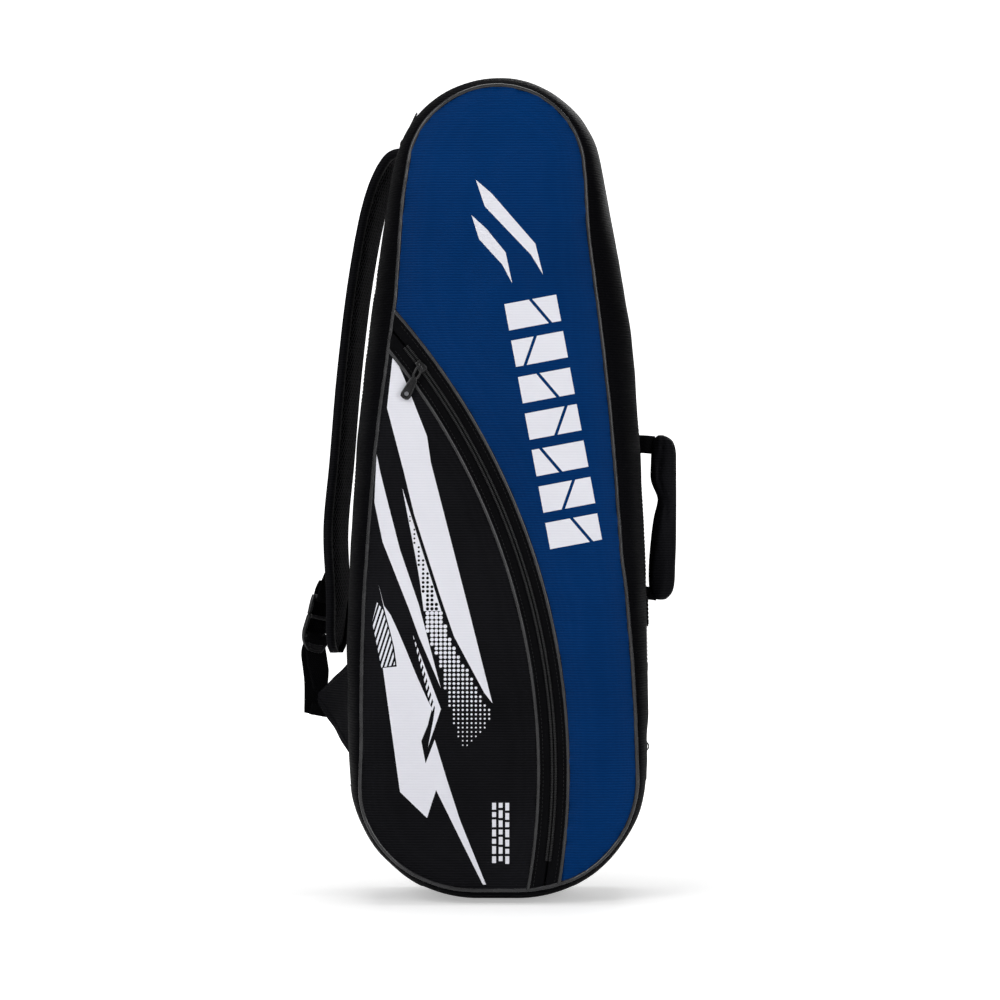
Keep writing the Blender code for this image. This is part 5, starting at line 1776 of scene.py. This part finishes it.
def make_handle_anchor(name):
    """A webbing patch on the side, with stitches round it and across it."""
    low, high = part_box(name)

    def on_side(y, z, lift):
        return Vector((outline.side_x(z) + lift, y, z))

    rows = []
    for z in spread(low.z, high.z, 12):
        ribs = [0.0014 + 0.00025 * math.cos(math.pi * 6 * u) for u in spread(-1, 1, 16)]
        rows.append([on_side(y, z, rib) for y, rib in zip(spread(low.y, high.y, 16), ribs)])
    patch = flap_mesh("patch", rows, 0.0016, 0.0004)
    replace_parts(finished(f"{name}_patch", patch, "webbing", "tray"), name)
    inner = 0.002
    y0, y1, z0, z1 = low.y + inner, high.y - inner, low.z + inner, high.z - inner
    line = polyline([(y0, z0), (y1, z0), (y1, z1), (y0, z1), (y0, z0), (y1, z1)], 8)
    seam = stitch_mesh("seam", [on_side(y, z, 0.0025) for y, z in line], lambda p: Vector((1, 0, 0)))
    finished(f"{name}_stitches", seam, "thread", "tray")


# ---------------------------------------------------------------- what stays from the CAD
def finish_cad_nodes():
    """The pocket's lining and the back's foam, as in the CAD but kept clear of the cloth around them."""
    rim_clear, lowest = 0.005, 0.014
    foam_wide, foam_tall = 0.98, 0.99
    for name, material, body in (("pocket_lining", "lining", "lid"), ("back_foam", "foam", "tray")):
        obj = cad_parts[name]
        mesh = obj.data.copy()
        mesh.transform(obj.matrix_world)
        for v in mesh.vertices:
            if body == "lid":
                limit = rim_x(max(v.co.z, lowest), math.copysign(1, v.co.x), rim_clear)
                v.co.x = max(v.co.x, limit) if v.co.x < 0 else min(v.co.x, limit)
            else:
                v.co.x *= foam_wide
                v.co.z = HEIGHT / 2 + (v.co.z - HEIGHT / 2) * foam_tall
        mesh.materials.clear()
        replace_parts(finished(f"{name}_sheet", mesh, material, body, smooth=False), name)


# ---------------------------------------------------------------- the studio
def white_paper():
    """White paper that glows to the camera, more so far from the bag, and casts none of that glow."""
    white, tree, shader, place = base_material("white_paper")
    grain = node(tree, "ShaderNodeTexNoise", {"Vector": place, "Scale": 3.0}).outputs["Fac"]
    tree.links.new(times(tree, grain, 0.1), shader.inputs["Roughness"])
    values = {"Base Color": (0.92, 0.92, 0.92, 1), "Specular IOR Level": 0.0, "Emission Color": (1, 1, 1, 1)}
    set_inputs(shader, values)
    seen = node(tree, "ShaderNodeLightPath").outputs["Is Camera Ray"]
    depth = node(tree, "ShaderNodeSeparateXYZ", {"Vector": place}).outputs["Y"]
    glow = plus(tree, times(tree, math_node(tree, "ABSOLUTE", depth), 0.3), 0.40)
    glow = math_node(tree, "MINIMUM", glow, 1.1)
    tree.links.new(times(tree, seen, glow), shader.inputs["Emission Strength"])
    return white


def make_studio():
    scene = bpy.context.scene
    camera = bpy.data.cameras.new("camera")
    camera.lens = 115.5
    camera.sensor_width = 36.0
    seat = bpy.data.objects.new("camera", camera)
    seat.location = (0.0019, -3.0, 0.369)
    seat.rotation_euler = (math.radians(90), 0, 0)
    scene.collection.objects.link(seat)
    scene.camera = seat
    scene.view_settings.view_transform = "Standard"

    wall_y, bend = 6.0, 0.8
    foot = wall_y - bend
    profile = [(-24.0, 0.0), (foot, 0.0)]
    profile += [(foot + bend * math.sin(t), bend * (1 - math.cos(t))) for t in (0.3, 0.6, 0.9, 1.2, 1.5)]
    profile.append((wall_y, 6.0))
    mesh = rows_mesh("backdrop", [[(x, y, z - 0.0002) for x in (-16.0, 16.0)] for y, z in profile])
    floor = bpy.data.objects.new("backdrop", mesh)
    scene.collection.objects.link(floor)
    mesh.shade_smooth()
    mesh.materials.append(white_paper())

    world = bpy.data.worlds.new("studio")
    world.use_nodes = True
    world.node_tree.nodes["Background"].inputs["Color"].default_value = (1, 1, 1, 1)
    world.node_tree.nodes["Background"].inputs["Strength"].default_value = 0.2
    scene.world = world
    for name, place, size, power in (
        ("key", (-1.6, -2.6, 1.9), 1.6, 38.5),
        ("fill", (1.9, -2.4, 1.2), 1.4, 24.0),
        ("top", (0.0, 0.3, 2.8), 1.8, 29.0),
        ("back", (0.9, 3.0, 1.7), 1.6, 24.0),
    ):
        light = bpy.data.lights.new(name, "AREA")
        light.shape = "SQUARE"
        light.size = size
        light.energy = power
        lamp = bpy.data.objects.new(name, light)
        lamp.location = place
        lamp.rotation_euler = (Vector((0, 0, 0.38)) - Vector(place)).to_track_quat("-Z", "Y").to_euler()
        scene.collection.objects.link(lamp)


make_studio()
make_front_panel()
make_pocket_cloth()
make_zip_strip()
make_prints()
make_sides()
make_main_zip()
make_hinge()
make_end_tabs()
make_back()
make_pocket_slider()
make_main_sliders()
# Each strap's bow azimuth and the turn of its width, in degrees
for label, side, azimuth, twist in (("left", -1, 149.0, -73.0), ("right", 1, 100.0, -90.0)):
    make_strap(label, side, azimuth, twist)
    make_wing(label, side)
make_handle()
finish_cad_nodes()
